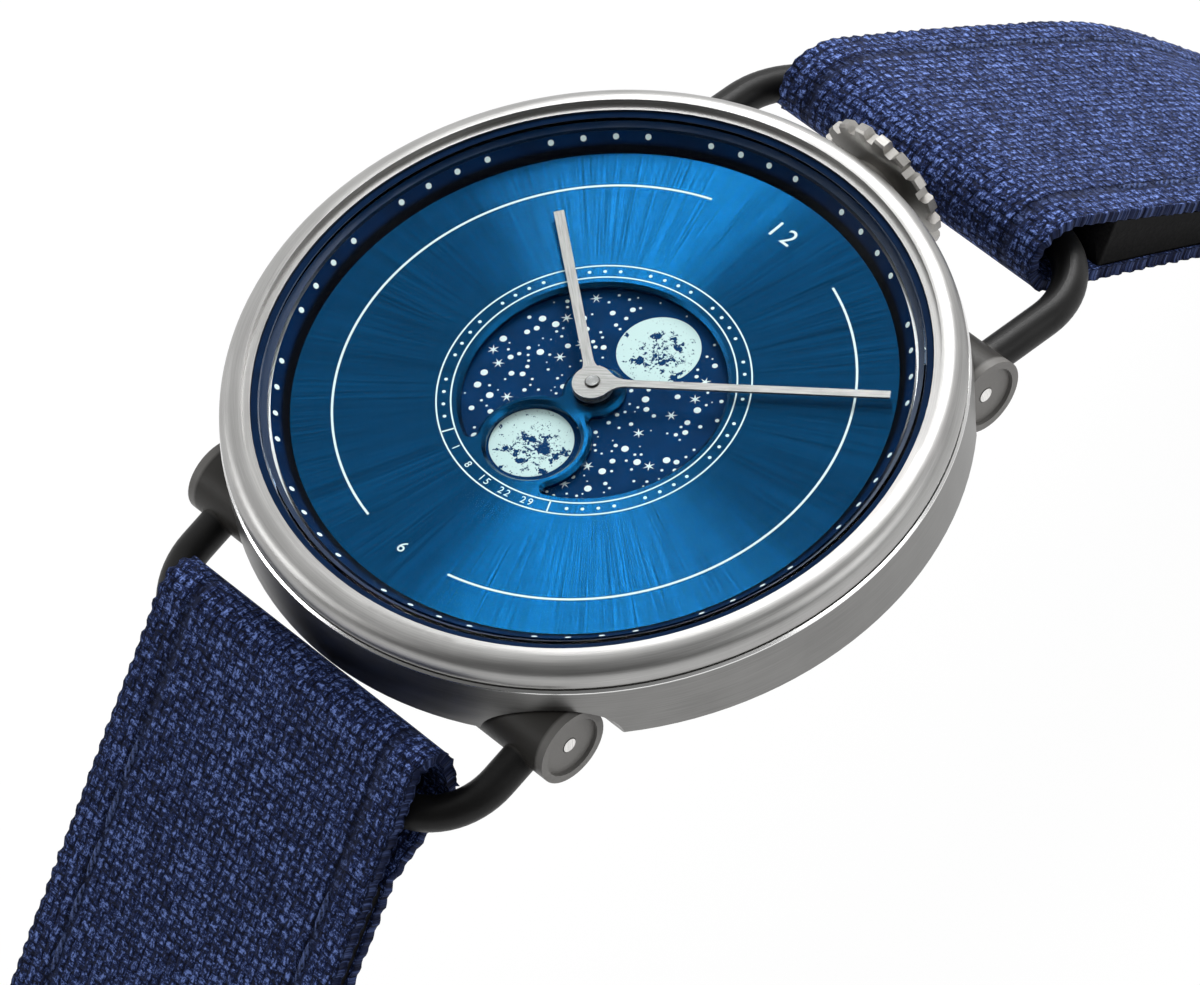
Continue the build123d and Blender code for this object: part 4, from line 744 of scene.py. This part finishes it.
class WATCH_OT_moon(bpy.types.Operator):
    """Colour the moon disc and print its two moons and its stars"""
    bl_idname = "watch.moon"
    bl_label = "Moon disc"

    def execute(self, context):
        settings = context.scene.watch_print
        low = math.radians(MOON_TURN)
        x, y = MOON_ORBIT_R * math.sin(low), MOON_ORBIT_R * math.cos(low)
        moons = [(-x, -y), (x, y)]
        self.sky(settings).on("moon_disc")
        self.print_moons(settings, moons)
        self.print_stars(settings, moons)
        return {"FINISHED"}

    def sky(self, settings):
        finish = Finish("Night sky lacquer", Roughness=0.5, Specular_IOR_Level=0.02)
        place = finish.place()
        soft = finish.scale(finish.grain(place, 0.7, 3.0))
        return finish.shade(
            Base_Color=finish.shades(soft, settings.sky_color, 0.2),
            Normal=finish.bump(finish.grain(place, 10.0, 3.0), 5e-6, 0.25))

    def moon_finish(self, settings, moons):
        """Pale lacquer with dark patches, fewer of them towards the moon's edge."""
        finish = Finish("Printed moon", Roughness=0.6, Specular_IOR_Level=0.05)
        place = finish.place()
        fades = []
        for x, y in moons:
            local = finish.vector("SUBTRACT", place, (x, y, MOON_TOP))
            near = finish.math("LESS_THAN", finish.vector("LENGTH", local, output="Value"), 2.5)
            shifted = finish.vector("SUBTRACT", local, (0.35, -0.25, 0))
            off = finish.vector("LENGTH", shifted, output="Value")
            fades.append(near * finish.scale(off, 0.4, 2.2, 0.05, -0.08))
        seas = fades[0] + fades[1]
        broad = finish.scale(finish.grain(place, 1.15, 4.0, 0.7) + seas, 0.545, 0.555)
        spots = finish.scale(finish.grain(place, 2.3, 5.0, 0.75) + seas, 0.565, 0.575)
        specks = finish.scale(finish.grain(place, 6.0, 3.0, 0.6) + seas, 0.60, 0.61)
        marks = finish.most(broad, spots, specks)
        deep = tuple(channel * 1.1 for channel in settings.sky_color)
        return finish.shade(
            Base_Color=finish.blend(marks, settings.moon_color, deep),
            Normal=finish.bump(1.0 - marks, 8e-6, 0.3))

    def print_moons(self, settings, moons):
        t = settings.thickness
        bm = bmesh.new()
        for x, y in moons:
            bmesh.ops.create_cone(bm, cap_ends=True, segments=72, radius1=MOON_R,
                                  radius2=MOON_R - 0.01, depth=t, matrix=resting(x, y, MOON_TOP, t))
        ink = self.moon_finish(settings, moons).material
        piece_from(bm, "printed_moons", ink, "moon", smooth=False)

    def print_stars(self, settings, moons):
        ink = printed("Star print", settings.print_color).material
        t = settings.thickness
        dice = random.Random(11)
        kept = []
        bm = bmesh.new()
        tries = 0
        while len(kept) < settings.stars and tries < STAR_TRIES:
            tries += 1
            x = dice.uniform(-STAR_SQUARE, STAR_SQUARE)
            y = dice.uniform(-STAR_SQUARE, STAR_SQUARE)
            index = len(kept)
            size = STAR_DOT_SIZES[index] if index < len(STAR_DOT_SIZES) else dice.choice(SMALL_DOT_SIZES)
            room = STAR_R if index in POINTED_STARS else size
            if not STAR_INNER_R + room < math.hypot(x, y) < STAR_OUTER_R - room:
                continue
            if any(math.dist((x, y), moon) < MOON_R + STAR_MOON_GAP + room for moon in moons):
                continue
            if any(math.dist((x, y), spot) < room + other + STAR_GAP for spot, other in kept):
                continue
            kept.append(((x, y), room))
            if index in POINTED_STARS:
                print_star(bm, x, y, MOON_TOP, STAR_R, t, dice.uniform(0, 1.0))
            else:
                print_dot(bm, resting(x, y, MOON_TOP, t), size, t)
        print_from(bm, "printed_stars", ink, "moon")


class WATCH_OT_hands(bpy.types.Operator):
    """Finish the hands and the cap that closes their hub"""
    bl_idname = "watch.hands"
    bl_label = "Hands"

    def execute(self, context):
        # Turned back by its own angle, so that the streaks run along each hand
        for name, angle in (("hour_hand", 305.0), ("minute_hand", 52.2)):
            finish = Finish("Satin " + name.replace("_", " "), Metallic=0.9, Roughness=0.36)
            x, y, z = finish.split(finish.turned(finish.place(), angle))
            fine = finish.grain(finish.join(x * 11.0, y * 0.7, z), 1.0, 3.0, 0.6)
            finish.shade(
                Base_Color=finish.blend(finish.scale(fine), (0.25, 0.24, 0.23), (0.39, 0.375, 0.36)),
                Normal=finish.bump(fine, 8e-6, 0.3))
            finish.on(name)
        turned_metal("Polished cap", (0.4, 0.39, 0.38), 0.2, streak=3.0).on("hand_cap")
        return {"FINISHED"}


class WATCH_OT_movement(bpy.types.Operator):
    """Finish the movement, its gear train and its battery"""
    bl_idname = "watch.movement"
    bl_label = "Movement"

    def execute(self, context):
        moulded("Movement holder", (0.62, 0.60, 0.55), 0.5).on("movement_ring")
        turned_metal("Nickelled plate", (0.68, 0.63, 0.52), 0.35, lines=4.0).on(
            "main_plate", "train_bridge", "moon_plate")
        turned_metal("Dark cut steel", (0.12, 0.115, 0.11), 0.3, lines=6.0).on("cannon_pinion")
        turned_metal("Cut brass", (0.72, 0.52, 0.24), 0.3, lines=6.0).on(
            "hour_wheel", "minute_wheel", "moon_drive_wheel")
        turned_metal("Plated cell", (0.66, 0.66, 0.66), 0.25, centre=(-6.2, -3.6, 0)).on("battery")
        blasted_metal("Spring clamp", (0.7, 0.66, 0.5), 0.3, 5.0, 0.2).on("battery_clamp")
        self.board().on("circuit_board")
        self.winding().on("coil")
        blasted_metal("Soft iron", (0.34, 0.34, 0.35), 0.5).on("stator")
        return {"FINISHED"}

    def board(self):
        finish = Finish("Green lacquered board", Roughness=0.3, Coat_Weight=0.4)
        place = finish.place()
        x, y = finish.split(place)[:2]
        traces = finish.math("SINE", (x + abs(y)) * 7.0)
        gaps = finish.scale(finish.grain(place, 0.5), 0.5, 0.55)
        broken = finish.scale(traces, 0.3, 0.5) * gaps
        return finish.shade(
            Base_Color=finish.blend(broken, (0.01, 0.10, 0.03), (0.03, 0.22, 0.07)),
            Normal=finish.bump(broken, 2e-5, 0.4))

    def winding(self):
        finish = Finish("Copper winding", Metallic=0.8, Roughness=0.35)
        place = finish.place()
        turns = finish.math("SINE", finish.split(place)[0] * 60.0)
        tone = finish.scale(turns + finish.grain(place, 3.0), -0.5, 1.5)
        return finish.shade(
            Base_Color=finish.blend(tone, (0.22, 0.06, 0.02), (0.62, 0.24, 0.08)),
            Normal=finish.bump(turns, 3e-5, 0.6))


class WATCH_OT_bails(bpy.types.Operator):
    """Coat the wire bails and the buckle in satin black"""
    bl_idname = "watch.bails"
    bl_label = "Bails and buckle"

    def execute(self, context):
        wire = coated_metal("Satin black wire", (0.005, 0.0049, 0.0048), 0.44)
        self.tone_barrels(wire.on("bail_12", "bail_6"))
        coated_metal("Satin black buckle", (0.008, 0.0078, 0.0075), 0.4).on(
            "buckle_frame", "buckle_bar", "buckle_tongue")
        return {"FINISHED"}

    def tone_barrels(self, finish):
        """The hinge barrels are a warmer grey than the wire, and their ends are the lightest."""
        x, y, z = finish.split(finish.place())
        off = finish.reach(abs(y) - HINGE_Y, z - HINGE_Z)
        barrel = finish.scale(off, BARREL_R - 0.07, BARREL_R + 0.07, 1.0, 0.0)
        end = barrel * finish.scale(abs(x), BARREL_END_X - 0.1, BARREL_END_X + 0.1)
        color = finish.blend(barrel, finish.given("Base Color"), (0.028, 0.0265, 0.024))
        finish.shade(Base_Color=finish.blend(end, color, (0.14, 0.136, 0.13)))


# The straps' routes, in the words of the CAD source: u runs away from the case, z is up
CANVAS_T = 0.7
CORE_T = 0.85
LAYER_GAP = 0.04
STRAP_T = CANVAS_T + CORE_T
FOLD_T = STRAP_T + CANVAS_T
RETURN_END = 34.0
CLOSING_BEND_R = 25.0
ROUTE_STEP = 0.25
# The cloth is modelled finely enough for its edge to ripple
CLOTH_PITCH = 0.26
CLOTH_COLUMNS = 60
CLOTH_RIM = 0.13
CLOTH_WAVE = 0.09
WAVE_PITCH = 1.02
CORE_COLUMNS = 10
CORE_RIM = 0.12
CORE_INSET = 0.3
# The wire's radius, with a little room for the canvas
WIRE_ROOM = 1.23
KEEPER_WALL = 0.7
KEEPER_CLEAR = 0.15
KEEPER_LENGTH = 4.0
KEEPER_SPARE = 1.8
KEEPER_RIM = 0.12
FLAT_12_UNDERSIDE = FLOOR_Z + KEEPER_WALL + KEEPER_CLEAR
FLAT_12_END = 91.3001
STITCH_START = 9.5
STITCH_PITCH = 3.2
STITCH_SINK = 0.02
# Half a stitch's width, length and height
STITCH_HALF = (0.2, 1.35, 0.13)
# The buckle holes, counted from the tip
HOLE_START = 14.0
HOLE_PITCH = 6.5
HOLE_R = 0.9

Sample = namedtuple("Sample", "u z heading travelled")


def trace(start, heading, runs):
    """Follow runs of (length, bend) and return samples along them."""
    u, z = start
    travelled = 0.0
    samples = [Sample(u, z, heading, travelled)]
    for length, bend in runs:
        steps = max(1, round(length / ROUTE_STEP))
        for _ in range(steps):
            heading += bend / steps / 2
            u += length / steps * math.cos(math.radians(heading))
            z += length / steps * math.sin(math.radians(heading))
            heading += bend / steps / 2
            travelled += length / steps
            samples.append(Sample(u, z, heading, travelled))
    return samples


def beside(sample, depth):
    """The point this deep under a sample, square to its heading."""
    slope = math.radians(sample.heading)
    return (sample.u + depth * math.sin(slope), sample.z - depth * math.cos(slope))


def closing_runs(last, flat, underside):
    """From the last sample: straight on, then a bend to level just over the floor."""
    slope = math.radians(-last.heading)
    drop = CLOSING_BEND_R * (1 - math.cos(slope))
    straight = (last.z - STRAP_T - underside - drop) / math.sin(slope)
    return [(straight, 0), (CLOSING_BEND_R * slope, -last.heading), (flat, 0)]


def arc(centre, radius, first, last):
    """Points on an arc, the first end left out."""
    count = max(2, round(radius * abs(math.radians(last - first)) / ROUTE_STEP))
    points = []
    for index in range(1, count + 1):
        angle = math.radians(first + (last - first) * index / count)
        points.append((centre[0] + radius * math.cos(angle), centre[1] + radius * math.sin(angle)))
    return points


def distances(points):
    """How far along the line each of its points is."""
    far = [0.0]
    for a, b in zip(points, points[1:]):
        far.append(far[-1] + math.dist(a, b))
    return far


def resample(points, pitch):
    """The same line with evenly spaced points, about a pitch apart."""
    far = distances(points)
    count = round(far[-1] / pitch)
    even = []
    index = 0
    for step in range(count + 1):
        target = far[-1] * step / count
        while index < len(points) - 2 and far[index + 1] < target:
            index += 1
        share = (target - far[index]) / (far[index + 1] - far[index] or 1.0)
        a, b = points[index], points[index + 1]
        even.append((a[0] + (b[0] - a[0]) * share, a[1] + (b[1] - a[1]) * share))
    return even


def inward(points, distance):
    """The line offset to its left, square to it."""
    moved = []
    last = len(points) - 1
    for index, (u, z) in enumerate(points):
        a = points[max(0, index - 2)]
        b = points[min(last, index + 2)]
        size = math.dist(a, b)
        moved.append((u - distance * (b[1] - a[1]) / size, z + distance * (b[0] - a[0]) / size))
    return moved


class StrapHalf:
    """One half of the strap: its route and the shape of its fold."""

    def __init__(self):
        seen = trace(self.start, self.heading, self.runs)
        closing = closing_runs(seen[-1], self.flat, self.underside)
        self.path = trace(self.start, self.heading, self.runs + closing)
        self.length = self.path[-1].travelled

    def lower(self, first):
        """The outer side of the layer that returns under the strap."""
        back = [s for s in self.path if first <= s.travelled <= RETURN_END]
        return [beside(s, self.depth(s.travelled)) for s in back]

    def half_width(self, u, wide):
        return wide


class StrapTwelve(StrapHalf):
    """The half at 12, whose end wraps the buckle's bar."""
    side = 1
    body = "strap_12"
    start = (25.15, 3.95)
    heading = 0.0
    runs = [(2.8, -37), (20, -3), (9, -12), (9, -1)]
    flat = 14.0
    underside = FLAT_12_UNDERSIDE
    bar = (92.3001, -36.575)
    slot = (90.9, 1.3)
    core_start = 5.8
    core_end = bar[0] - 1.5
    unsewn = 16.0
    # The bail's reach, the bend at its corners and its tilt
    wire = (11.25, 5.0, 6.9)
    holes = 0

    def depth(self, travelled):
        return FOLD_T + 2.6 * (1 - travelled / RETURN_END)

    def outer(self):
        """The canvas's outer side: round the bar, along the top and round the wire."""
        top = [(s.u, s.z) for s in reversed(self.path) if s.travelled <= self.length - 3.2]
        return arc(self.bar, 1.45, -112, 98) + top + arc((25.15, 1.85), 2.1, 90, 235) + self.lower(2.8)


class StrapSix(StrapHalf):
    """The half at 6, with the round tip and the buckle holes."""
    side = -1
    body = "strap_6"
    start = (23.618, 3.073)
    heading = -56.0
    runs = [(3, 3), (21, 0)]
    flat = 52.0
    underside = FLOOR_Z
    slot = None
    core_start = 6.8
    core_end = math.inf
    unsewn = 14.0
    wire = (8.31, 4.42, 16.0)
    holes = 6

    def depth(self, travelled):
        return FOLD_T + 2.87 * max(0, 1 - travelled / 6.76)

    def outer(self):
        """The canvas's outer side: along the top from the tip, and round the wire."""
        top = [(s.u, s.z) for s in reversed(self.path)]
        fold = arc((22.25, 2.15), 1.65, 34, 180) + [(20.6, 1.4), (20.6, 0.6), (20.6, -0.13)]
        return top + fold + arc((21.6, -0.13), 1.0, 180, 240) + self.lower(3.0)

    def half_width(self, u, wide):
        past = u - (self.path[-1].u - wide)
        return math.sqrt(max(0.09, wide * wide - past * past)) if past > 0 else wide


def bent_band(half, top, bottom, columns, wide, rim, wave=0.0, slot=None):
    """A band between two lines of points, made flat first and then bent into place.
    Its UV map holds millimetres along and across it."""
    rows = len(top) - 1
    bm = bmesh.new()
    bmesh.ops.create_grid(bm, x_segments=rows, y_segments=columns, size=1.0)
    if slot:
        start, reach = slot
        inside = []
        for face in bm.faces:
            middle = face.calc_center_median()
            if top[round((middle.x + 1) / 2 * rows)][0] > start and abs(middle.y) * wide < reach:
                inside.append(face)
        bmesh.ops.delete(bm, geom=inside, context="FACES")
    for vert in made(bmesh.ops.extrude_face_region(bm, geom=bm.faces[:], use_keep_orig=True)):
        vert.co.z = 1.0
    far = distances(top)
    # Each vertex's row, its place across from -1 to 1, and 0 on top or 1 below
    flat = {vert: (round((vert.co.x + 1) / 2 * rows), vert.co.y, vert.co.z) for vert in bm.verts}
    uv = bm.loops.layers.uv.new("UVMap")
    for face in bm.faces:
        for loop in face.loops:
            row, across = flat[loop.vert][:2]
            loop[uv].uv = (far[row], across * half.half_width(top[row][0], wide))
    edges = []
    for edge in bm.edges:
        first, second = (flat[vert][1:] for vert in edge.verts)
        if first == second and abs(first[0]) == 1:
            edges.append(edge)
    for vert in bm.verts:
        row, across, deep = flat[vert]
        a, b = top[row], bottom[row]
        u = a[0] + (b[0] - a[0]) * deep
        z = a[1] + (b[1] - a[1]) * deep
        width = half.half_width(a[0], wide)
        if wave:
            place = Vector((far[row] * 0.9, across * 3 + half.side, 0))
            swell = (noise.noise(place * 0.6) - 1) / 2
            if abs(across) > 0.98:
                ripple = 0.75 * math.sin(far[row] * 2 * math.pi / WAVE_PITCH)
                width += wave * (ripple + noise.noise(place * 1.7)) - wave
            size = math.dist(a, b)
            u += (a[0] - b[0]) / size * swell * wave * 0.5
            z += (a[1] - b[1]) / size * swell * wave * 0.5
        vert.co = (across * width, half.side * u, z)
    round_off(bm, edges, rim)
    bmesh.ops.recalc_face_normals(bm, faces=bm.faces)
    return bm


def wire_line(side, reach, bend, tilt):
    """Points along the middle of a bail's wire, for keeping the canvas off it."""
    leg = BAIL_LEG_X
    flat = [(leg, 0.0)] + [(leg, (reach - bend) * k / 6) for k in range(1, 7)]
    for k in range(1, 13):
        angle = math.radians(90 * k / 12)
        flat.append((leg - bend + bend * math.cos(angle), reach - bend + bend * math.sin(angle)))
    flat += [(x, reach) for x in (5, 3, 1, 0)]
    full = flat + [(-x, v) for x, v in reversed(flat)]
    lean = math.radians(tilt)
    points = []
    for x, v in full:
        points.append(Vector((x, side * (HINGE_Y + v * math.cos(lean)), HINGE_Z - v * math.sin(lean))))
    return points


def nearest_on(line, place):
    """The spot on a line of points that is nearest to a place."""
    spots = []
    for a, b in zip(line, line[1:]):
        span = b - a
        share = max(0.0, min(1.0, (place - a).dot(span) / max(span.length_squared, 1e-9)))
        spots.append(a + span * share)
    return min(spots, key=lambda spot: (place - spot).length)


def keep_off(bm, line, room):
    """Push the cloth out of the wire that it wraps."""
    low = min(point.y for point in line) - 3
    high = max(point.y for point in line) + 3
    for vert in bm.verts:
        if low < vert.co.y < high:
            spot = nearest_on(line, vert.co)
            if (vert.co - spot).length < room:
                vert.co = spot + (vert.co - spot).normalized() * room


def cut(piece, cutter):
    """Take the cutter's shape out of a piece."""
    modifier = piece.modifiers.new("Cut", "BOOLEAN")
    modifier.object = cutter
    modifier.operation = "DIFFERENCE"
    modifier.solver = "EXACT"
    depsgraph = bpy.context.evaluated_depsgraph_get()
    mesh = bpy.data.meshes.new_from_object(piece.evaluated_get(depsgraph))
    piece.modifiers.remove(modifier)
    old = piece.data
    piece.data = mesh
    bpy.data.meshes.remove(old)


def weave_finish(settings):
    """Coarse plain-woven canvas: threads over and under, fibres, sunk stitch lines."""
    finish = Finish("Blue canvas", Roughness=0.85, Sheen_Weight=0.12, Sheen_Roughness=0.45,
                    Sheen_Tint=settings.light, Specular_IOR_Level=0.15)
    along, across = finish.split(finish.add("UVMap", uv_map="UVMap"))[:2]

    def wobble(vector):
        return (finish.grain(vector, 0.9) - 0.5) * 0.35

    u = (along + wobble(finish.join(along, across, 0.0))) / settings.thread
    v = (across + wobble(finish.join(across, along, 5.0))) / (settings.thread * 0.9)
    cell_u, cell_v = finish.math("FLOOR", u), finish.math("FLOOR", v)
    from_u, from_v = finish.math("FRACT", u) - 0.5, finish.math("FRACT", v) - 0.5
    over = finish.math("FLOORED_MODULO", cell_u + cell_v, 2.0)
    under = 1.0 - over

    def thread(width, run):
        return (1.0 - width * width * 3.4) * (1.0 - run * run * 1.5)

    height = over * thread(from_v, from_u) + under * thread(from_u, from_v)
    # Fibres run along each thread, so their grain is stretched that way
    fibre_warp = finish.grain(finish.join(along * 2.4, across * 7.5, cell_v), 1.0, 3.0, 0.6)
    fibre_weft = finish.grain(finish.join(along * 7.5, across * 2.4, cell_u), 1.0, 3.0, 0.6)
    fibre = over * fibre_warp + under * fibre_weft
    cell = finish.join(cell_u, cell_v, 0.0)
    patch = finish.add("TexWhiteNoise", {"Vector": cell}, "Value", noise_dimensions="3D")
    fleck = finish.grain(finish.join(along, across, 3.0), 6.5, 2.0, 0.7)
    tone = fibre * 1.1 + patch * 0.16 + fleck * 1.3 + height * 0.34
    ramp = finish.add("ValToRGB", {0: finish.scale(tone, 1.32, 1.84)})
    elements = ramp.socket.node.color_ramp.elements
    elements[0].color = (*settings.dark, 1)
    elements[1].color = (*settings.light, 1)
    elements.new(0.48).color = (*settings.middle, 1)
    # The seam sinks between its stitches and is painted darker, a painted shade in its groove, and the
    # cloth is darker at its edge
    out = abs(across)
    seam = abs(out - (settings.width / 2 - settings.stitch_inset))
    pinch = finish.scale(seam, 0.0, 0.5, 1.0, 0.0, smooth=True)
    edge = finish.scale(out, settings.width / 2 - 0.06, settings.width / 2 - 0.01)
    # Painted shade: the sunk seam's colour is pulled towards the dark thread
    color = finish.blend(pinch * 0.75, ramp, settings.dark)
    return finish.shade(
        Base_Color=finish.blend(edge * 0.7, color, settings.dark),
        Normal=finish.bump(height + fibre * 0.45 - pinch * 1.8, 1.7e-4))


def core_finish():
    """Matt black core that shows along the strap's edges and on its underside."""
    finish = Finish("Black strap core", Roughness=0.7, Specular_IOR_Level=0.08)
    place = finish.place()
    pores = finish.add("TexVoronoi", {"Vector": place, "Scale": 2.2}, "Distance")
    fine = finish.grain(place, 6.0, 3.0)
    dark, light = (0.0015, 0.0015, 0.0018), (0.006, 0.0058, 0.006)
    return finish.shade(
        Base_Color=finish.blend(finish.scale(fine), dark, light),
        Normal=finish.bump(pores + fine, 4e-5, 0.5))


def thread_finish(settings):
    """Twisted thread, flecked like the canvas."""
    finish = Finish("Sewing thread", Roughness=0.85, Specular_IOR_Level=0.2)
    place = finish.place()
    x, y = finish.split(place)[:2]
    twist = finish.math("SINE", (x * 1.2 + y) * 16.0)
    tone = twist * 0.15 + finish.grain(place, 6.0, 2.0, 0.7) * 1.5
    light = tuple(channel * 0.55 for channel in settings.light)
    return finish.shade(
        Base_Color=finish.blend(finish.scale(tone, 0.5, 1.0), settings.dark, light),
        Normal=finish.bump(twist, 6e-5, 0.8))


class WATCH_OT_straps(bpy.types.Operator):
    """Bend the canvas and the core of both strap halves, and sew them"""
    bl_idname = "watch.straps"
    bl_label = "Straps"

    def execute(self, context):
        settings = context.scene.watch_strap
        canvas = weave_finish(settings).material
        core = core_finish().material
        thread = thread_finish(settings).material
        for half in (StrapTwelve(), StrapSix()):
            cloth = self.cloth(half, settings, canvas)
            filling = self.filling(half, settings, core)
            if half.holes:
                cutter = self.hole_cutter(half)
                cut(cloth, cutter)
                cut(filling, cutter)
                bpy.data.objects.remove(cutter)
            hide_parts(half.body + "_canvas")
            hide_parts(half.body + "_lining")
            self.stitch(half, settings, thread)
        self.keepers(settings, canvas)
        return {"FINISHED"}

    def cloth(self, half, settings, canvas):
        """The canvas, from the far end over the top, round the wire and back below."""
        outer = resample(half.outer(), CLOTH_PITCH)
        inner = inward(outer, CANVAS_T)
        bm = bent_band(half, outer, inner, CLOTH_COLUMNS, settings.width / 2, CLOTH_RIM,
                       CLOTH_WAVE, half.slot)
        keep_off(bm, wire_line(half.side, *half.wire), WIRE_ROOM)
        return piece_from(bm, half.body + "_cloth", canvas, half.body)

    def filling(self, half, settings, core):
        """The core, which fills the room between the two layers of canvas."""
        kept = [s for s in half.path if s.travelled >= half.core_start and s.u < half.core_end]
        upper = [beside(s, CANVAS_T + LAYER_GAP) for s in kept]
        under = []
        for s in kept:
            folded = s.travelled <= RETURN_END + 0.2
            depth = half.depth(s.travelled) - CANVAS_T - LAYER_GAP if folded else STRAP_T
            under.append(beside(s, depth))
        wide = settings.width / 2 - CORE_INSET
        bm = bent_band(half, upper, under, CORE_COLUMNS, wide, CORE_RIM)
        return piece_from(bm, half.body + "_core", core, half.body)

    def hole_cutter(self, half):
        """Pins that punch the round buckle holes."""
        bm = bmesh.new()
        for hole in range(half.holes):
            place = move(0, -half.path[-1].u + HOLE_START + hole * HOLE_PITCH, FLOOR_Z)
            bmesh.ops.create_cone(bm, cap_ends=True, segments=28, radius1=HOLE_R,
                                  radius2=HOLE_R, depth=8.0, matrix=place)
        cutter = object_from(bm, "cutter")
        cutter.hide_render = True
        return cutter

    def stitch(self, half, settings, thread):
        """Two rows of sewn stitches, sunk into the canvas."""
        bm = bmesh.new()
        line = settings.width / 2 - settings.stitch_inset
        shape = Matrix.Diagonal((*STITCH_HALF, 1.0))
        travelled = STITCH_START
        while travelled < half.length - half.unsewn:
            sample = min(half.path, key=lambda s: abs(s.travelled - travelled))
            lean = turn(half.side * sample.heading, "X")
            for side in (-1, 1):
                place = move(side * line, half.side * sample.u, sample.z - STITCH_SINK) @ lean
                bmesh.ops.create_icosphere(bm, subdivisions=2, radius=1.0, matrix=place @ shape)
            travelled += STITCH_PITCH
        piece_from(bm, half.body + "_stitches", thread, half.body)

    def keepers(self, settings, canvas):
        """Flat loops that hold the strap's loose end."""
        inner_w = settings.width + 2 * KEEPER_CLEAR
        inner_h = STRAP_T + 2 * KEEPER_CLEAR + KEEPER_SPARE
        middle = FLAT_12_UNDERSIDE - KEEPER_CLEAR + inner_h / 2
        for name, body, back in (("keeper_fixed", "strap_12", 4.0), ("keeper_free", "keeper", 10.6)):
            bm = self.keeper_loop(inner_w, inner_h)
            bmesh.ops.rotate(bm, cent=(0, 0, 0), matrix=turn(90, "X"), verts=bm.verts)
            place = (0, FLAT_12_END - back + KEEPER_LENGTH / 2, middle)
            bmesh.ops.translate(bm, vec=place, verts=bm.verts)
            loop_piece = piece_from(bm, name + "_cloth", canvas, body)
            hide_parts(name)

    def keeper_loop(self, inner_w, inner_h):
        """A flat ring with round corners, raised to the keeper's length. Its UV map
        holds millimetres along and across the canvas."""
        bm = bmesh.new()
        bmesh.ops.create_grid(bm, x_segments=1, y_segments=1, size=0.5)
        size = (inner_w + 2 * KEEPER_WALL, inner_h + 2 * KEEPER_WALL, 1)
        bmesh.ops.scale(bm, vec=size, verts=bm.verts)
        round_off(bm, bm.verts[:], KEEPER_WALL, 5, "VERTICES")
        bmesh.ops.inset_region(bm, faces=bm.faces[:], thickness=KEEPER_WALL, use_even_offset=True)
        inner = []
        for face in bm.faces:
            if all(abs(v.co.x) < inner_w / 2 + 0.05 and abs(v.co.y) < inner_h / 2 + 0.05
                   for v in face.verts):
                inner.append(face)
        bmesh.ops.delete(bm, geom=inner, context="FACES")
        bmesh.ops.remove_doubles(bm, verts=bm.verts, dist=0.01)
        raised = made(bmesh.ops.extrude_face_region(bm, geom=bm.faces[:], use_keep_orig=True))
        bmesh.ops.translate(bm, vec=(0, 0, KEEPER_LENGTH), verts=raised)
        bmesh.ops.recalc_face_normals(bm, faces=bm.faces)
        corners = [edge for edge in bm.edges if len(edge.link_faces) == 2]
        round_off(bm, [edge for edge in corners if edge.calc_face_angle() > 1.2], KEEPER_RIM)
        uv = bm.loops.layers.uv.new("UVMap")
        for face in bm.faces:
            flat = abs(face.normal.x) < 0.7
            for loop in face.loops:
                co = loop.vert.co
                loop[uv].uv = (co.z, co.x if flat else co.y)
        return bm


class WATCH_PT_panel(bpy.types.Panel):
    """Shows the watch's settings and its operators in the sidebar"""
    bl_label = "Moon phase watch"
    bl_idname = "WATCH_PT_panel"
    bl_space_type = "VIEW_3D"
    bl_region_type = "UI"
    bl_category = "Watch"

    def draw(self, context):
        layout = self.layout
        for group, _ in GROUPS:
            box = layout.box()
            settings = getattr(context.scene, group)
            for name in settings.bl_rna.properties.keys():
                if name not in ("rna_type", "name"):
                    box.prop(settings, name)
        for operator in OPERATORS:
            layout.operator(operator.bl_idname)


OPERATORS = (WATCH_OT_stage, WATCH_OT_case, WATCH_OT_crystal, WATCH_OT_dial, WATCH_OT_moon,
             WATCH_OT_hands, WATCH_OT_movement, WATCH_OT_bails, WATCH_OT_straps)
GROUPS = (("watch_print", WatchPrint), ("watch_strap", WatchStrap), ("watch_stage", WatchStage))


def register():
    for name, group in GROUPS:
        bpy.utils.register_class(group)
        setattr(bpy.types.Scene, name, PointerProperty(type=group))
    for operator in OPERATORS:
        bpy.utils.register_class(operator)
    bpy.utils.register_class(WATCH_PT_panel)


def unregister():
    bpy.utils.unregister_class(WATCH_PT_panel)
    for operator in reversed(OPERATORS):
        bpy.utils.unregister_class(operator)
    for name, group in reversed(GROUPS):
        delattr(bpy.types.Scene, name)
        bpy.utils.unregister_class(group)


def main():
    """Register everything and make the pieces in order."""
    register()
    bpy.ops.watch.stage()
    bpy.ops.watch.case()
    bpy.ops.watch.crystal()
    bpy.ops.watch.dial()
    bpy.ops.watch.moon()
    bpy.ops.watch.hands()
    bpy.ops.watch.movement()
    bpy.ops.watch.bails()
    bpy.ops.watch.straps()


if __name__ == "__main__":
    main()
